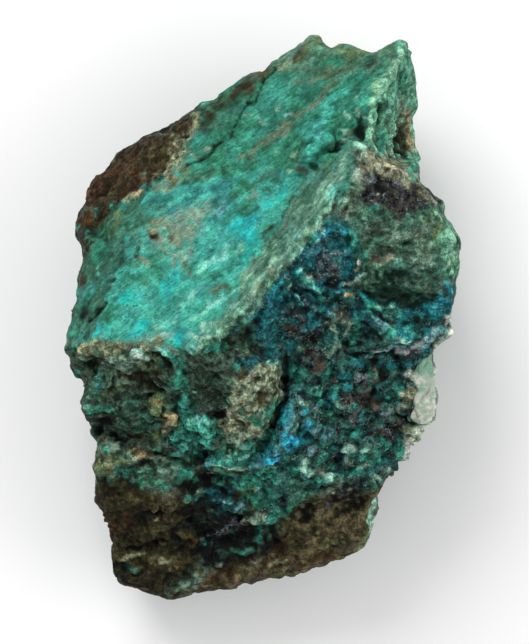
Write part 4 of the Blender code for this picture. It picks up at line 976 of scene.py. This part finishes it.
quartz, tree, surface = start_material("milky_quartz")
millimetres = measure()
apart = add("ShaderNodeSeparateXYZ", {"Vector": millimetres}).outputs
clouds = curve(mottle(1.6, 5.0, 0.7), 0.35, 0.65)
milk = blend(clouds, (*linear("96A08E"), 1), (*linear("CCCFC2"), 1))
film = calc("ADD", mottle(1.3, 5.0, 0.7, shift=(4, 4, 4)), curve(apart[1], -12.0, -4.5, -0.04, 0.12))
edge = curve(apart[2], 24.6, 23.0, 0.0, 0.12)
film = calc("ADD", film, edge)
stained = blend(curve(film, 0.42, 0.68), milk, (*linear("6E9C84"), 1))
cracks = add("ShaderNodeTexVoronoi", {"Vector": spaced(2.4, turn=70, stretch=(0.5, 1, 1)), "Scale": 1.0},
             feature="DISTANCE_TO_EDGE")
joint = calc("MULTIPLY", curve(cracks.outputs["Distance"], 0.07, 0.0), curve(mottle(1.1), 0.4, 0.6))
stained = blend(calc("MULTIPLY", joint, 0.6), stained, (*linear("3E4A3C"), 1))
tree.links.new(stained, surface.inputs["Base Color"])
surface.inputs["Roughness"].default_value = 0.45
surface.inputs["IOR"].default_value = 1.54
surface.inputs["Subsurface Weight"].default_value = 0.35
surface.inputs["Subsurface Radius"].default_value = (1, 1, 1)
surface.inputs["Subsurface Scale"].default_value = 0.8 * MM
bump = add("ShaderNodeBump", {"Height": mottle(0.6, 5.0, 0.7), "Strength": 0.8, "Distance": 0.0003})
tree.links.new(bump.outputs[0], surface.inputs["Normal"])
dress(shard, quartz)
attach(shard, "root")

# ---------------------------------------------------------------- floor, light and camera
# A pale floor, a large soft box high at the upper left, and weak light all round.
bpy.ops.object.select_all(action="DESELECT")
bpy.ops.mesh.primitive_plane_add(size=3.0)
floor = bpy.context.active_object
floor.name = "floor"
board, tree, surface = start_material("matt_white_board")
surface.inputs["Base Color"].default_value = (0.95, 0.95, 0.95, 1)
surface.inputs["Roughness"].default_value = 0.9
floor.data.materials.append(board)

world = bpy.data.worlds.new("studio")
bpy.context.scene.world = world
world.use_nodes = True
world.node_tree.nodes["Background"].inputs["Color"].default_value = (1, 1, 1, 1)
world.node_tree.nodes["Background"].inputs["Strength"].default_value = 0.63


def soft_box(name, direction, distance, size, power):
    light = bpy.data.lights.new(name, "AREA")
    light.size = size
    light.energy = power
    box = bpy.data.objects.new(name, light)
    direction = Vector(direction).normalized()
    box.location = direction * distance
    box.rotation_mode = "QUATERNION"
    box.rotation_quaternion = direction.to_track_quat("Z", "Y")
    bpy.context.scene.collection.objects.link(box)


soft_box("key_box", (-0.35, 0.72, 0.70), 0.9, 0.50, 5.1)
soft_box("fill_box", (0.85, -0.10, 0.55), 0.9, 0.70, 2.7)

PLANE_WIDTH = 0.644 / 7.1
camera_data = bpy.data.cameras.new("camera")
camera = bpy.data.objects.new("camera", camera_data)
camera_data.lens = camera_data.sensor_width * VIEW_HEIGHT * MM / PLANE_WIDTH
camera_data.clip_end = 10
camera.location = (0.00035, -0.00028, (VIEW_HEIGHT + RIM_HEIGHT) * MM)
bpy.context.scene.collection.objects.link(camera)
bpy.context.scene.camera = camera
bpy.context.scene.view_settings.view_transform = "Standard"
